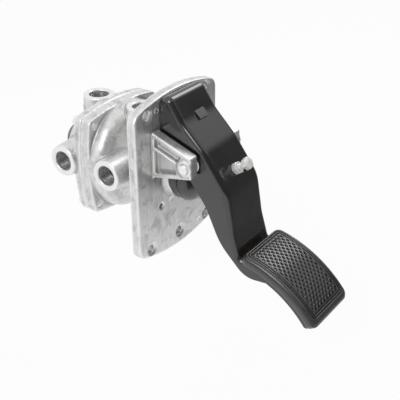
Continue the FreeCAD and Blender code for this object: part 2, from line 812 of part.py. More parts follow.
def channel_form(label, corners, wall):
    """The solid outline of the channel, or of its inside, with every bend and long edge rounded."""
    body = new_body(label)
    PARTS.remove(body)
    arcs = {"straight": (), "seat": (-(SEAT_RADIUS - wall),), "skirt": (PAN_UNDER - wall,)}
    side = new_sketch(body, label + "_side", "YZ")
    draw_outline(side, [corners[name] + arcs[ARM_OUTLINE[name][2]] for name in ARM_CORNERS])
    last = extrude(body, label + "_solid", side, S.arm_width - wall * 2, both=True)
    doc.recompute()
    for name, (radius, inside) in ARM_BENDS.items():
        y, z = corners[name]
        edge = edges_at(last, lambda e, m: abs(m.x) < 0.01 and abs(m.y - float(y)) < 0.05
                        and abs(m.z - float(z)) < 0.05)
        bend = {"tighter": radius - wall, "wider": radius + wall, "same": radius}[inside]
        last = dress(body, f"{label}_bend_{name}", last, edge, bend)
    along_pan = [S.pan_start + (S.pan_end - S.pan_start) * share / 3 for share in (1, 2)]
    front = outline_wire([corners[name] for name in ARM_CORNERS if ARM_OUTLINE[name][1] == "front"]
                         + [on_pad(SEAT_RADIUS - wall, angle) for angle in along_pan] + [corners["toe"]])
    behind = [corners[name] for name in ARM_CORNERS if ARM_OUTLINE[name][1] == "rear"]
    rear = outline_wire([corners["top"]] + behind[:0:-1]
                        + [on_pad(PAN_UNDER - wall, angle) for angle in along_pan] + [corners["back_toe"]])

    def on_front(point):
        vertex = Part.Vertex(0, point.y, point.z)
        return vertex.distToShape(front)[0] < vertex.distToShape(rear)[0]

    half = float(S.arm_width / 2 - wall)
    toe = math.dist([float(value) for value in corners["toe"]], [float(value) for value in corners["back_toe"]])
    rim = edges_at(last, lambda e, m: abs(abs(m.x) - half) < 0.01 and on_front(m)
                   and abs(e.Length - toe) > 0.01)
    dress(body, label + "_edge", last, rim, S.arm_edge_radius - wall)
    return body


def outline_wire(places):
    return Part.makePolygon([FreeCAD.Vector(0, float(y), float(z)) for y, z in places])


def make_pedal_arm():
    """Drawn steel channel: one pressed sheet, open towards the plate, with a pan for the pad."""
    outside = {name: place for name, (place, side, bow) in ARM_OUTLINE.items()}
    inside = {name: inner_corner(name, S.arm_wall) for name in ARM_CORNERS}
    outer = channel_form("channel", outside, as_size(0))
    hollow = channel_form("channel_hollow", inside, S.arm_wall)
    tab_body = new_body("lanced_tab")
    PARTS.remove(tab_body)
    tab = new_sketch(tab_body, "tab_section", "YZ", S.tab_side - S.tab_width / 2)
    run = HOLLOW[0] - CROWN[0]
    fall = HOLLOW[1] - CROWN[1]
    length = root(run * run + fall * fall)
    along_y, along_z = run / length, fall / length
    out_y, out_z = along_z, -along_y
    tab_y, tab_z = HOLLOW[0] - along_y * 6.0, HOLLOW[1] - along_z * 6.0
    draw_outline(tab, [
        (tab_y - out_y, tab_z - out_z),
        (tab_y + along_y * S.tab_length - out_y, tab_z + along_z * S.tab_length - out_z),
        (tab_y + along_y * S.tab_length + out_y * S.tab_rise,
         tab_z + along_z * S.tab_length + out_z * S.tab_rise),
        (tab_y + out_y * 0.4, tab_z + out_z * 0.4),
    ])
    extrude(tab_body, "tab", tab, S.tab_width)
    hinge = S.pin_radius + S.running_gap + S.bush_wall
    tools = [
        cylinder("screw_thread", S.screw_radius + S.running_gap, SCREW_REACH + 10.0,
                 y=CONTACT_Y, turn=(X_AXIS, SCREW_TILT)),
        cylinder("bush_holes", hinge, S.arm_width + 2.0, x=HALF_ARM + 1.0, y=PIVOT_Y, z=PIVOT_Z,
                 turn=ALONG_MINUS_X),
    ]
    sheet = cut("channel_sheet", outer, hollow)
    cut("pedal_arm", join("channel_and_tab", [sheet, tab_body]), tools, part=True)


def make_pedal_pad():
    """Rubber pad, curved to the pan, with rounded corners and a soft outer rim."""
    body = new_body("pedal_pad")
    seat = SEAT_RADIUS + S.seal_gap
    side = new_sketch(body, "pad_side", "YZ")
    top_start, top_end = on_pad(S.pad_radius, S.pad_start), on_pad(S.pad_radius, S.pad_end)
    lip = seat - S.pan_depth
    lip_end, lip_start = on_pad(lip, S.pad_end), on_pad(lip, S.pan_end + 0.3)
    low_end, low_start = on_pad(seat, S.pan_end + 0.3), on_pad(seat, S.pad_start)
    draw_outline(side, [
        (top_start[0], top_start[1], -S.pad_radius),
        top_end,
        lip_end,
        lip_start,
        (low_end[0], low_end[1], seat),
        low_start,
    ])
    solid = extrude(body, "pad_solid", side, S.pad_width, both=True)
    doc.recompute()
    half = (S.pad_width / 2).number
    thick = (S.pad_radius - seat).number
    lip_depth = thick + S.pan_depth.number
    upright = edges_at(solid, lambda e, m: abs(abs(m.x) - half) < 0.01
                       and min(abs(e.Length - thick), abs(e.Length - lip_depth)) < 0.01)
    corners = dress(body, "pad_corners", solid, upright, S.pad_corner_radius)
    top = edges_at(corners, lambda e, m: abs(
        FreeCAD.Vector(0, m.y - PAD_Y.number, m.z - PAD_Z.number).Length
        - S.pad_radius.number) < 0.01)
    dress(body, "pad_rim", corners, top, S.pad_rim_radius)
    rim_half = S.pad_width / 2 - S.rim_groove_side
    frame_groove(body, "rim_groove", rim_half, S.rim_groove_start, S.rim_groove_end)
    tread_half = S.pad_width / 2 - S.tread_side
    frame_groove(body, "tread_groove", tread_half, S.tread_start, S.tread_end)
    lozenge = tread_half * 2 / 6
    middle = (S.tread_start + S.tread_end) / 2
    lozenge_rows(body, "odd_rows", lozenge, ODD_COLUMNS, middle - S.tread_row_step * 4, 5)
    lozenge_rows(body, "even_rows", lozenge, EVEN_COLUMNS, middle - S.tread_row_step * 3, 4)


def pad_axis_sketch(body, name, angle):
    """A sketch whose first axis is the pad's axis and whose second points out at an angle."""
    made = new_sketch(body, name, "XZ")
    made.AttachmentOffset = FreeCAD.Placement(FreeCAD.Vector(0, 0, 0), FreeCAD.Rotation(X_AXIS, 1.0))
    bind(made, ".AttachmentOffset.Base.y", PAD_Z)
    bind(made, ".AttachmentOffset.Base.z", -PAD_Y)
    bind(made, ".AttachmentOffset.Rotation.Angle", angle)
    return made


def groove_about_pad(body, name, spans, start, end):
    """Square-edged groove turned about the pad's axis from one angle to another."""
    sketch = pad_axis_sketch(body, name + "_section", (start + end) / 2)
    floor, above = S.pad_radius - S.groove_depth, S.pad_radius + 1.0
    for low, high in spans:
        draw_outline(sketch, [(low, floor), (high, floor), (high, above), (low, above)])
    groove = revolve(body, name, sketch, kind="Groove")
    groove.Midplane = True
    bind(groove, "Angle", end - start)
    doc.recompute()
    return groove, sketch


def frame_groove(body, name, half, start, end):
    """A groove round a rectangle of the pad's face: two runs along it and two across."""
    inner = half - S.groove_width
    groove_about_pad(body, name + "_sides", [(-half, -inner), (inner, half)], start, end)
    across = S.groove_width / S.pad_radius * 180 / math.pi
    groove_about_pad(body, name + "_top", [(-half, half)], start, start + across)
    groove_about_pad(body, name + "_toe", [(-half, half)], end - across, end)


def lozenge_rows(body, name, width, columns, start, rows):
    """Rows of lozenge pits: one row on the pad's face, repeated about the pad's axis."""
    row = new_sketch(body, name + "_lozenges", "XY")
    row.AttachmentOffset = FreeCAD.Placement(FreeCAD.Vector(0, 0, 0), FreeCAD.Rotation(X_AXIS, 1.0))
    y, z = on_pad(S.pad_radius, start)
    bind(row, ".AttachmentOffset.Base.y", y)
    bind(row, ".AttachmentOffset.Base.z", z)
    bind(row, ".AttachmentOffset.Rotation.Angle", start)
    wide = width / 2 * S.lozenge_share
    long = S.pad_radius * S.tread_row_step * math.pi / 180 * S.lozenge_share
    for column in columns:
        x = width * column / 2
        draw_outline(row, [(x - wide, as_size(0)), (x, -long), (x + wide, as_size(0)), (x, long)])
    pits = extrude(body, name + "_pits", row, S.groove_depth, kind="Pocket")
    doc.recompute()
    axis = pad_axis_sketch(body, name + "_axis", start)
    axis.Visibility = False
    pattern = body.newObject("PartDesign::PolarPattern", name)
    pattern.Originals = [pits]
    pattern.Axis = (axis, ["H_Axis"])
    bind(pattern, "Angle", S.tread_row_step * 2 * (rows - 1))
    pattern.Occurrences = rows
    body.Tip = pattern
    doc.recompute()


def hexagon(name, across, height, **where):
    made = doc.addObject("Part::Prism", name)
    made.Polygon = 6
    bind(made, "Circumradius", across / root(3.0))
    bind(made, "Height", height)
    return place_at(made, **where)


def make_adjusting_screw():
    """Hexagon screw through the web, whose round end pushes the plunger, and its lock nut."""
    tip = doc.addObject("Part::Sphere", "screw_tip")
    bind(tip, "Radius", S.screw_radius)
    under_head = SCREW_REACH + S.screw_stand
    shank = cylinder("screw_shank", S.screw_radius, under_head + 1.0)
    head = hexagon("screw_head", S.screw_head_across, S.screw_head_height, z=under_head)
    screw = join("adjusting_screw", [tip, shank, head])
    place_at(screw, y=CONTACT_Y, turn=(X_AXIS, SCREW_TILT))
    PARTS.append(screw)
    blank = hexagon("nut_blank", S.screw_head_across, S.nut_height, z=SCREW_REACH)
    bore = cylinder("nut_thread", S.screw_radius + S.running_gap, SCREW_REACH + S.nut_height * 2)
    nut = cut("lock_nut", blank, bore, part=True)
    place_at(nut, y=CONTACT_Y, turn=(X_AXIS, SCREW_TILT))


def group(label, pieces):
    """Like pieces kept as separate solids in one node."""
    made = doc.addObject("Part::Compound", label)
    made.Label = label
    made.Links = pieces
    PARTS.append(made)
    return made


def ring_of(name, outer, inner, length, **where):
    """A plain ring, bored through."""
    blank = cylinder(name + "_blank", outer, length)
    bore = cylinder(name + "_bore", inner, length + 2.0, z=-1.0)
    return place_at(cut(name, blank, bore), **where)


def make_pivot():
    """Pin through both ears, bushes in the channel's sides and thrust washers beside them."""
    end = S.ear_gap / 2 + S.ear_thickness + S.ear_boss_height + S.pin_stand
    shank = cylinder("pin_shank", S.pin_radius, end * 2, x=end, y=PIVOT_Y, z=PIVOT_Z,
                     turn=ALONG_MINUS_X)
    pin = doc.addObject("Part::Chamfer", "pivot_pin")
    doc.recompute()
    ends = [index for index, edge in enumerate(shank.Shape.Edges, start=1)
            if isinstance(edge.Curve, Part.Circle)]
    pin.Base = shank
    pin.Edges = [(index, S.pin_chamfer.number, S.pin_chamfer.number) for index in ends]
    PARTS.append(pin)
    hole = S.pin_radius + S.running_gap
    bushes, washers = [], []
    for name, side, turn in (("left", -1, ALONG_MINUS_X), ("right", 1, (Y_AXIS, 90))):
        inner_face = HALF_ARM - S.arm_wall
        sleeve = cylinder(name + "_sleeve", hole + S.bush_wall - 0.01, S.arm_wall)
        collar = cylinder(name + "_collar", hole + S.bush_wall + 2.0, S.bush_collar, z=S.arm_wall)
        bore = cylinder(name + "_bush_bore", hole, S.arm_wall + S.bush_collar + 2.0, z=-1.0)
        bush = cut(name + "_bush", join(name + "_bush_blank", [sleeve, collar]), bore)
        bushes.append(place_at(bush, x=inner_face * side, y=PIVOT_Y, z=PIVOT_Z, turn=turn))
        washers.append(ring_of(
            name + "_washer", hole + S.bush_wall + 2.0, hole, S.washer_thickness,
            x=(HALF_ARM + S.bush_collar + 0.05) * side, y=PIVOT_Y, z=PIVOT_Z, turn=turn))
    group("pivot_bushes", bushes)
    group("thrust_washers", washers)


def make_plunger_set():
    """Plunger and cap, the guide they slide in, and the bellows boot over them."""
    front = CONTACT_Y + S.screw_radius + S.contact_gap
    foot = S.clearance
    turned("plunger", [
        (front + S.plunger_head_height, 0.0),
        (front + S.plunger_head_height, S.plunger_radius),
        (foot, S.plunger_radius),
        (foot, S.plunger_foot_radius),
        (foot + S.plunger_foot_height, S.plunger_foot_radius),
        (foot + S.plunger_foot_height, 0.0),
    ])
    turned("plunger_cap", [
        (front, 0.0),
        (front, S.plunger_radius - 1.0),
        (front + 1.0, S.plunger_radius + 2.5),
        (front + S.plunger_head_height, S.plunger_radius + 2.5),
        (front + S.plunger_head_height, 0.0),
    ])
    hole = S.plunger_radius + S.running_gap
    fit = S.guide_radius - S.running_gap
    turned("plunger_guide", [
        (-S.spigot_length - S.guide_collar, hole),
        (-S.spigot_length - S.guide_collar, S.guide_collar_radius),
        (-S.spigot_length, S.guide_collar_radius),
        (-S.spigot_length, fit),
        (as_size(0), fit),
        (as_size(0), hole),
    ])
    base = FACE_Y - S.ring_height - S.seal_gap
    crest, valley, wall, pitch = S.boot_radius, S.boot_groove_radius, S.boot_wall, S.boot_pitch
    neck = front + S.plunger_head_height + S.seal_gap
    neck_radius = S.plunger_radius + S.clearance
    turned("plunger_boot", [
        (base, valley - 4.0),
        (base, valley),
        (base - 1.5, valley),
        (base - pitch / 2, crest),
        (base - pitch, valley),
        (base - pitch * 1.5, crest),
        (base - pitch * 2.2, crest - 1.5),
        (neck + 3.5, neck_radius + 4.0),
        (neck + 3.0, neck_radius + wall),
        (neck, neck_radius + wall),
        (neck, neck_radius),
        (neck + 4.5, neck_radius),
        (base - pitch * 2.1 + wall, crest - wall - 2.5),
        (base - pitch * 1.5, crest - wall),
        (base - pitch, valley - wall),
        (base - pitch / 2, crest - wall),
        (base - 2.0, valley - 4.0),
    ])


def make_upper_inner():
    """Graduating spring, primary piston and its valve, all round the valve axis."""
    seat_start = S.clearance + S.plunger_foot_height
    seat_end = seat_start + 2.5
    turned("spring_seat", [
        (seat_start, 0.0),
        (seat_start, S.chamber_radius - 2.0),
        (seat_end, S.chamber_radius - 2.0),
        (seat_end, 6.0),
        (seat_end + 5.0, 6.0),
        (seat_end + 5.0, 0.0),
    ])
    spring_start, spring_end = seat_end + 0.05, S.piston_start - 0.05
    middle = (spring_start + spring_end) / 2
    turned("graduating_spring", [
        (spring_start, 6.5),
        (spring_start, 12.0),
        (middle, 14.5),
        (spring_end, 12.0),
        (spring_end, 6.5),
    ])
    piston_end = S.piston_start + S.piston_length
    fit = S.chamber_radius - S.running_gap
    groove = fit - S.seal_section
    groove_start = S.piston_start + (S.piston_length - S.seal_section) / 2
    stem_end = UPPER_SEAT - S.exhaust_gap
    turned("primary_piston", [
        (S.piston_start, S.valve_stem_bore),
        (S.piston_start, fit),
        (groove_start, fit),
        (groove_start, groove),
        (groove_start + S.seal_section, groove),
        (groove_start + S.seal_section, fit),
        (piston_end, fit),
        (piston_end, S.piston_stem_radius),
        (stem_end, S.piston_stem_radius),
        (stem_end, S.valve_stem_bore),
    ])
    seal_ring("primary_piston_seal", groove_start, groove, fit)
    inlet_valve("primary", UPPER_SEAT)


def seal_ring(label, start, inner, outer):
    turned(label, [
        (start + 0.1, inner + 0.05),
        (start + 0.1, outer),
        (start + S.seal_section - 0.1, outer),
        (start + S.seal_section - 0.1, inner + 0.05),
    ])


def inlet_valve(prefix, seat):
    """Inlet valve on its seat, its conical spring and the retainer that guides its stem."""
    back = seat + S.valve_thickness
    retainer = seat + S.supply_length
    retainer_end = retainer + S.retainer_length
    turned(prefix + "_valve", [
        (seat, S.valve_stem_bore),
        (seat, S.valve_radius),
        (back, S.valve_radius),
        (back, S.valve_stem_radius),
        (retainer_end - 0.5, S.valve_stem_radius),
        (retainer_end - 0.5, S.valve_stem_bore),
    ])
    turned(prefix + "_valve_retainer", [
        (retainer, S.valve_stem_radius + S.running_gap),
        (retainer, S.supply_radius - S.running_gap),
        (retainer_end, S.supply_radius - S.running_gap),
        (retainer_end, S.valve_stem_radius + S.running_gap),
    ])
    spring(prefix + "_valve_spring", back + 0.05, retainer - 0.05, S.valve_spring_radius)


def spring(label, start, end, radius):
    """The room a coil spring takes about the valve axis, between two depths."""
    turned(label, [
        (start, radius - S.wire_radius),
        (start, radius + S.wire_radius),
        (end, radius + S.wire_radius),
        (end, radius - S.wire_radius),
    ])


def make_lower_inner():
    """Relay piston, the second inlet valve and the seal between the castings."""
    piston_end = S.relay_piston_start + S.relay_piston_length
    fit = S.relay_radius - S.running_gap
    groove = fit - S.seal_section
    groove_start = S.relay_piston_start + (S.relay_piston_length - S.seal_section) / 2
    stem_end = LOWER_SEAT - S.relay_gap
    turned("relay_piston", [
        (S.relay_piston_start, S.valve_stem_bore),
        (S.relay_piston_start, fit),
        (groove_start, fit),
        (groove_start, groove),
        (groove_start + S.seal_section, groove),
        (groove_start + S.seal_section, fit),
        (piston_end, fit),
        (piston_end, S.piston_stem_radius),
        (stem_end, S.piston_stem_radius),
        (stem_end, S.valve_stem_bore),
    ])
    seal_ring("relay_piston_seal", groove_start, groove, fit)
    inlet_valve("secondary", LOWER_SEAT)
    spring("relay_spring", piston_end + 0.05, S.relay_end - 0.05, S.relay_spring_radius)
    spring("piston_spring", S.piston_start + S.piston_length + 0.05,
           S.upper_seat_depth - 0.05, S.piston_spring_radius)


def make_exhaust():
    """Silencer cup pressed into the outlet, and the rubber flap inside it."""
    spigot = S.supply_radius - S.running_gap
    end = LOWER_END + S.silencer_length
    inside = S.silencer_radius - S.silencer_wall
    turned("exhaust_silencer", [
        (LOWER_END - 1.5, spigot - 1.5),
        (LOWER_END - 1.5, spigot),
        (LOWER_END, spigot),
        (LOWER_END, S.silencer_radius),
        (end - 2.0, S.silencer_radius),
        (end, S.silencer_radius - 2.0),
        (end, 4.0),
        (end - S.silencer_wall, 4.0),
        (end - S.silencer_wall, inside),
        (LOWER_END + 1.0, inside),
        (LOWER_END + 1.0, spigot - 1.5),
    ])
    flap = LOWER_END + 4.0
    turned("exhaust_flap", [
        (flap, 0.0),
        (flap, inside - S.seal_gap),
        (flap + S.flap_thickness, inside - S.seal_gap),
        (flap + S.flap_thickness, 4.0),
        (end - S.silencer_wall - S.seal_gap, 3.6),
        (end - S.silencer_wall - S.seal_gap, 0.0),
    ])


def make_screws():
    """The screws between the castings and those that hold the valve to the plate."""
    joint_length = S.upper_flange + S.lower_flange
    group("flange_screws", [
        cap_screw(f"flange_screw_{index}", S.flange_screw_head, joint_length - 0.2,
                  x=x, y=S.upper_length + S.lower_flange + S.flange_screw_head, z=z)
        for index, (x, z) in enumerate(square_corners(S.flange_screws_across))
    ])
    group("plate_screws", [
        cap_screw(f"plate_screw_{index}", S.plate_screw_head, S.neck_flange + S.plate_screw_grip,
                  x=x, y=S.neck_flange + S.plate_screw_head, z=z)
        for index, (x, z) in enumerate(corners_of_plate_screws())
    ])


def cap_screw(name, head_height, length, **where):
    """A screw put in from behind: its head is furthest along Y."""
    head = cylinder(name + "_head", S.screw_cap_radius, head_height)
    shank = cylinder(name + "_shank", S.flange_screw_radius, head_height + length)
    return place_at(join(name, [head, shank]), turn=(X_AXIS, 90), **where)


make_mounting_plate()
make_upper_body()
make_lower_body()
make_pedal_arm()
make_pedal_pad()
make_adjusting_screw()
make_pivot()
make_plunger_set()
make_upper_inner()
make_lower_inner()
make_exhaust()
make_screws()


def write_parts():
    """Check every object, then write each sub-part to its own file."""
    doc.recompute()
    for item in doc.Objects:
        if "Invalid" in item.State or "Error" in item.State:
            raise RuntimeError(f"{item.Label} failed: {item.State}")
    os.makedirs("parts", exist_ok=True)
    for part in PARTS:
        shape = part.Shape
        if shape.isNull() or not shape.isValid():
            raise RuntimeError(f"{part.Label} has no valid shape")
        print(part.Label, len(shape.Solids), round(shape.Volume / 1000, 2), "cm3")
    for part in PARTS:
        part.Shape.exportStep(f"parts/{part.Label}.step")


write_parts()
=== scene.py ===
"""Looks of a foot brake valve with a hanging pedal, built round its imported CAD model."""

import json
import math

import bmesh
import bpy
import numpy as np
from mathutils import Matrix, Vector

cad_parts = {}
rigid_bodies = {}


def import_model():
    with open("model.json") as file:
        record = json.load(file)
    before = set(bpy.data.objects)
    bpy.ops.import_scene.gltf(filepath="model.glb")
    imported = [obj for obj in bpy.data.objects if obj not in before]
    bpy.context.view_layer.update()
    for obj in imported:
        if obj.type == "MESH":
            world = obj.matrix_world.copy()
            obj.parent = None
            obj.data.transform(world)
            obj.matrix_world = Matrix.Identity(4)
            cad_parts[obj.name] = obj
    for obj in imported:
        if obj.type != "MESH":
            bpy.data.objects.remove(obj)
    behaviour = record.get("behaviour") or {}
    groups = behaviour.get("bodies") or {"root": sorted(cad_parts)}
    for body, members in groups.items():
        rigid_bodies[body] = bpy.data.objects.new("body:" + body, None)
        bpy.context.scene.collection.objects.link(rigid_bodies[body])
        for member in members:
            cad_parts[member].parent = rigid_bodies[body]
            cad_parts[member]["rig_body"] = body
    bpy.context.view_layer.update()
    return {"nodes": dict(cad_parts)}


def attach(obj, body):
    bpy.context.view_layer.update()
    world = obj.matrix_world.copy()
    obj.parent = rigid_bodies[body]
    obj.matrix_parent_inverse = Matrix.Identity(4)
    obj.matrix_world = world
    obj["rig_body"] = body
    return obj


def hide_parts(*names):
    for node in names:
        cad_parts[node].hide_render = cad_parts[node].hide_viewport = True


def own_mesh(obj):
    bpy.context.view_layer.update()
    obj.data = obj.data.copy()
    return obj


bl_info = {
    "name": "Foot brake valve",
    "version": (1, 0, 0),
    "blender": (4, 5, 0),
    "location": "View3D > Sidebar > Foot valve",
    "description": "Builds the castings, pedal, rubber pad, screws and finishes of a foot brake valve",
    "category": "Object",
}

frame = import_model()

MM = 0.001
WHITE = (1, 1, 1, 1)
SMOOTH_UP_TO = math.radians(35)
JOINED_WITHIN = 0.004 * MM
FLAT_WITHIN = math.radians(0.6)
BEVELLED_FROM = math.radians(40)
PORTS = (
    ("left_upper", (-59.5, 33.9, 3.0), (-1, 0, 0)),
    ("left_lower", (-59.5, 91.0, 3.0), (-1, 0, 0)),
    ("top_upper", (0.0, 33.9, 56.8), (0, 0, 1)),
    ("top_lower", (0.0, 91.0, 56.8), (0, 0, 1)),
)
FINISH_OF_NODE = {
    "mounting_plate": "cast", "upper_body": "cast", "lower_body": "cast",
    "pedal_arm": "paint", "pedal_pad": "rubber", "plunger_boot": "rubber",
    "graduating_spring": "rubber", "exhaust_flap": "rubber", "primary_piston_seal": "rubber",
    "relay_piston_seal": "rubber", "exhaust_silencer": "plastic",
    "primary_piston": "turned", "relay_piston": "turned",
    "primary_valve_retainer": "turned", "secondary_valve_retainer": "turned",
    "pivot_bushes": "bronze", "plunger_guide": "brass", "primary_valve": "brass",
    "secondary_valve": "brass",
}


def length(name, default, description):
    """A length in metres that the user may change; the default is given in millimetres."""
    return bpy.props.FloatProperty(
        name=name, description=description, default=default * MM, min=0.0,
        subtype="DISTANCE", unit="LENGTH", precision=5)


def count(name, default, description, least, most):
    return bpy.props.IntProperty(name=name, description=description, default=default, min=least, max=most)


def colour(name, default, description):
    return bpy.props.FloatVectorProperty(
        name=name, description=description, default=default, size=3, min=0.0, max=1.0,
        subtype="COLOR")


class ValveSizes(bpy.types.PropertyGroup):
    """Sizes of the details that are added to the CAD model."""
    cast_step: length("Casting mesh", 0.95, "Edge length of the castings' mesh, which gives soft edges")
    cast_rounds: count("Casting rounding", 5, "How often the castings' edges are smoothed", 0, 30)
    port_bore: length("Port bore", 10.19, "Radius of a port at the crests of its thread")
    port_face: length("Port face", 15.2, "Outer radius of a port's machined ring face")
    port_chamfer: length("Port chamfer", 1.3, "Width of the chamfer at a port's mouth")
    thread_pitch: length("Port thread pitch", 1.5, "Pitch of the thread in the ports")
    thread_depth: length("Port thread depth", 0.55, "Depth of the thread in the ports")
    thread_turns: count("Port thread turns", 8, "Turns of thread in each port", 1, 20)
    pad_half_width: length("Pad half width", 33.0, "Half the width of the rubber pad")
    pad_radius: length("Pad radius", 122.0, "Radius of the pad's tread face")
    pad_thickness: length("Pad thickness", 9.8, "Thickness of the pad")
    groove_depth: length("Groove depth", 1.4, "Depth of the two grooves round the tread")
    lozenge_width: length("Lozenge width", 5.5, "Width of a lozenge of the tread, across the pad")
    lozenge_length: length("Lozenge length", 7.2, "Length of a lozenge of the tread, along the pad")
    lozenge_depth: length("Lozenge depth", 2.0, "Depth of the pit in each lozenge")
    boot_wall: length("Boot wall", 1.6, "Wall of the rubber bellows")
    screw_radius: length("Adjusting screw radius", 3.0, "Radius of the adjusting screw's thread")
    screw_across: length("Hexagon across flats", 10.8, "Across flats of the screw head and lock nut")
    screw_head: length("Screw head height", 4.6, "Height of the adjusting screw's head")
    nut_height: length("Lock nut height", 5.0, "Height of the lock nut")
    screw_thread: length("Adjusting screw pitch", 1.0, "Pitch of the adjusting screw's thread")
    sheet_edge: length("Sheet edge", 0.45, "Rounding of the pressed sheet's edges")


class ValveColours(bpy.types.PropertyGroup):
    """Colours of the finishes."""
    cast: colour("Cast aluminium", (0.80, 0.80, 0.795), "Colour of the castings")
    machined: colour("Machined aluminium", (0.95, 0.95, 0.95), "Colour of port faces and turned parts")
    paint: colour("Black paint", (0.0055, 0.0053, 0.0052), "Colour of the pedal's paint")
    # Painted light: a lighter, browner tone low on the pedal's paint.
    dust: colour("Dust", (0.021, 0.016, 0.0145), "Colour of the dust low on the pedal's paint")
    rubber: colour("Black rubber", (0.028, 0.028, 0.029), "Colour of pad and boot")
    zinc: colour("Zinc plate", (0.94, 0.94, 0.93), "Colour of screws, nut, pin and springs")
    brass: colour("Brass", (0.62, 0.44, 0.19), "Colour of the guide and the inlet valves")
    # Painted shade: the pivot bushes get a dark colour for the narrow gap where they show.
    bronze: colour("Dark bronze", (0.11, 0.085, 0.05), "Colour of the pivot bushes")
    plastic: colour("Silencer", (0.16, 0.16, 0.16), "Colour of the silencer")
    floor: colour("Floor", (0.92, 0.92, 0.92), "Colour of the floor")


# Node trees

def add_node(tree, kind, settings=None, **values):
    """Adds a node; a value that is a socket gets linked. Spaces of input names are written as _."""
    node = tree.nodes.new(kind)
    for name, value in (settings or {}).items():
        setattr(node, name, value)
    for name, value in values.items():
        connect(tree, value, node.inputs[name.replace("_", " ")])
    return node


def connect(tree, value, socket):
    if isinstance(value, bpy.types.NodeSocket):
        tree.links.new(value, socket)
    else:
        socket.default_value = value


def calc(tree, operation, *operands):
    node = tree.nodes.new("ShaderNodeMath")
    node.operation = operation
    for index, value in enumerate(operands):
        connect(tree, value, node.inputs[index])
    return node.outputs[0]


def blend_colours(tree, factor, first, second):
    node = tree.nodes.new("ShaderNodeMix")
    node.data_type = "RGBA"
    for index, value in ((0, factor), (6, first), (7, second)):
        connect(tree, value, node.inputs[index])
    return node.outputs[2]


def remap(tree, value, low, high, to_low=0.0, to_high=1.0):
    node = tree.nodes.new("ShaderNodeMapRange")
    for index, item in enumerate((value, low, high, to_low, to_high)):
        connect(tree, item, node.inputs[index])
    return node.outputs[0]


def noise(tree, vector, scale, **values):
    return add_node(tree, "ShaderNodeTexNoise", Vector=vector, Scale=scale, **values).outputs["Fac"]


def split(tree, vector):
    return add_node(tree, "ShaderNodeSeparateXYZ", Vector=vector).outputs


def attribute(tree, name):
    return add_node(tree, "ShaderNodeAttribute", {"attribute_name": name}).outputs["Fac"]


def new_tree(name, kind, inputs, outputs):
    """A node group, its given values and its results. A socket is told by its kind or its default."""
    tree = bpy.data.node_groups.new(name, kind)
    for direction, sockets in (("INPUT", inputs), ("OUTPUT", outputs)):
        for title, value in sockets.items():
            word = value if isinstance(value, str) else type(value).__name__.capitalize()
            socket = tree.interface.new_socket(title, in_out=direction, socket_type="NodeSocket" + word)
            if word != value:
                socket.default_value = value
    return tree, tree.nodes.new("NodeGroupInput").outputs, tree.nodes.new("NodeGroupOutput").inputs


def surface_grain():
    """Fine grain over a slower drift, as sand, moulds and spray leave it."""
    tree, given, result = new_tree("surface_grain", "ShaderNodeTree", {
        "Vector": "Vector", "Grain per metre": 900.0, "Drift per metre": 60.0,
    }, {"Height": "Float", "Drift": "Float"})
    place_on, grain = given["Vector"], given["Grain per metre"]
    fine = noise(tree, place_on, grain, Detail=3.0, Roughness=0.6)
    coarse = noise(tree, place_on, calc(tree, "MULTIPLY", grain, 0.28), Detail=2.0)
    drift = noise(tree, place_on, given["Drift per metre"], Detail=4.0, Roughness=0.55)
    coarse_share = calc(tree, "MULTIPLY", coarse, 0.45)
    connect(tree, calc(tree, "MULTIPLY_ADD", fine, 0.55, coarse_share), result["Height"])
    connect(tree, remap(tree, drift, 0.32, 0.68), result["Drift"])
    return tree


def edge_wear():
    """Relief masks: convex edges for wear and painted highlight, hollows for painted shade."""
    tree, given, result = new_tree("edge_wear", "ShaderNodeTree", {
        "Vector": "Vector", "Relief": 0.5, "Break up per metre": 220.0,
    }, {"Edge": "Float", "Hollow": "Float"})
    rough = noise(tree, given["Vector"], given["Break up per metre"], Detail=3.0)
    ragged = calc(tree, "MULTIPLY_ADD", rough, 0.25, calc(tree, "SUBTRACT", given["Relief"], 0.125))
    connect(tree, remap(tree, ragged, 0.60, 0.92), result["Edge"])
    connect(tree, remap(tree, ragged, 0.44, 0.22), result["Hollow"])
    return tree


def casting_stains():
    """Dull blots with ragged edges, and streaks drawn out along Z."""
    tree, given, result = new_tree("casting_stains", "ShaderNodeTree", {
        "Vector": "Vector", "Blots per metre": 75.0, "Streaks per metre": 260.0,
    }, {"Blots": "Float", "Streaks": "Float"})
    blots = noise(tree, given["Vector"], given["Blots per metre"],
                  Detail=6.0, Roughness=0.66, Distortion=0.8)
    drawn = add_node(tree, "ShaderNodeMapping", Vector=given["Vector"], Scale=(1.0, 1.0, 0.16))
    streaks = noise(tree, drawn.outputs["Vector"], given["Streaks per metre"],
                    Detail=5.0, Roughness=0.6, Distortion=0.3)
    connect(tree, remap(tree, blots, 0.50, 0.68), result["Blots"])
    connect(tree, remap(tree, streaks, 0.48, 0.66), result["Streaks"])
    return tree


def tool_marks():
    """Fine turned rings that follow the second direction of the piece's own UV map."""
    tree, given, result = new_tree("tool_marks", "ShaderNodeTree", {
        "UV": "Vector", "Rings per metre": 1800.0,
    }, {"Height": "Float", "Shade": "Float"})
    across = calc(tree, "MULTIPLY", split(tree, given["UV"])["Y"], given["Rings per metre"])
    drift = add_node(tree, "ShaderNodeTexNoise", {"noise_dimensions": "1D"},
                     W=across, Scale=1.0, Detail=3.0).outputs["Fac"]
    wave = calc(tree, "SINE", calc(tree, "MULTIPLY", across, 6.283))
    connect(tree, calc(tree, "MULTIPLY_ADD", wave, 0.25, drift), result["Height"])
    connect(tree, drift, result["Shade"])
    return tree


def shade(base, share):
    """A colour with alpha, this share as bright as the base."""
    return [value * share for value in base] + [1.0]


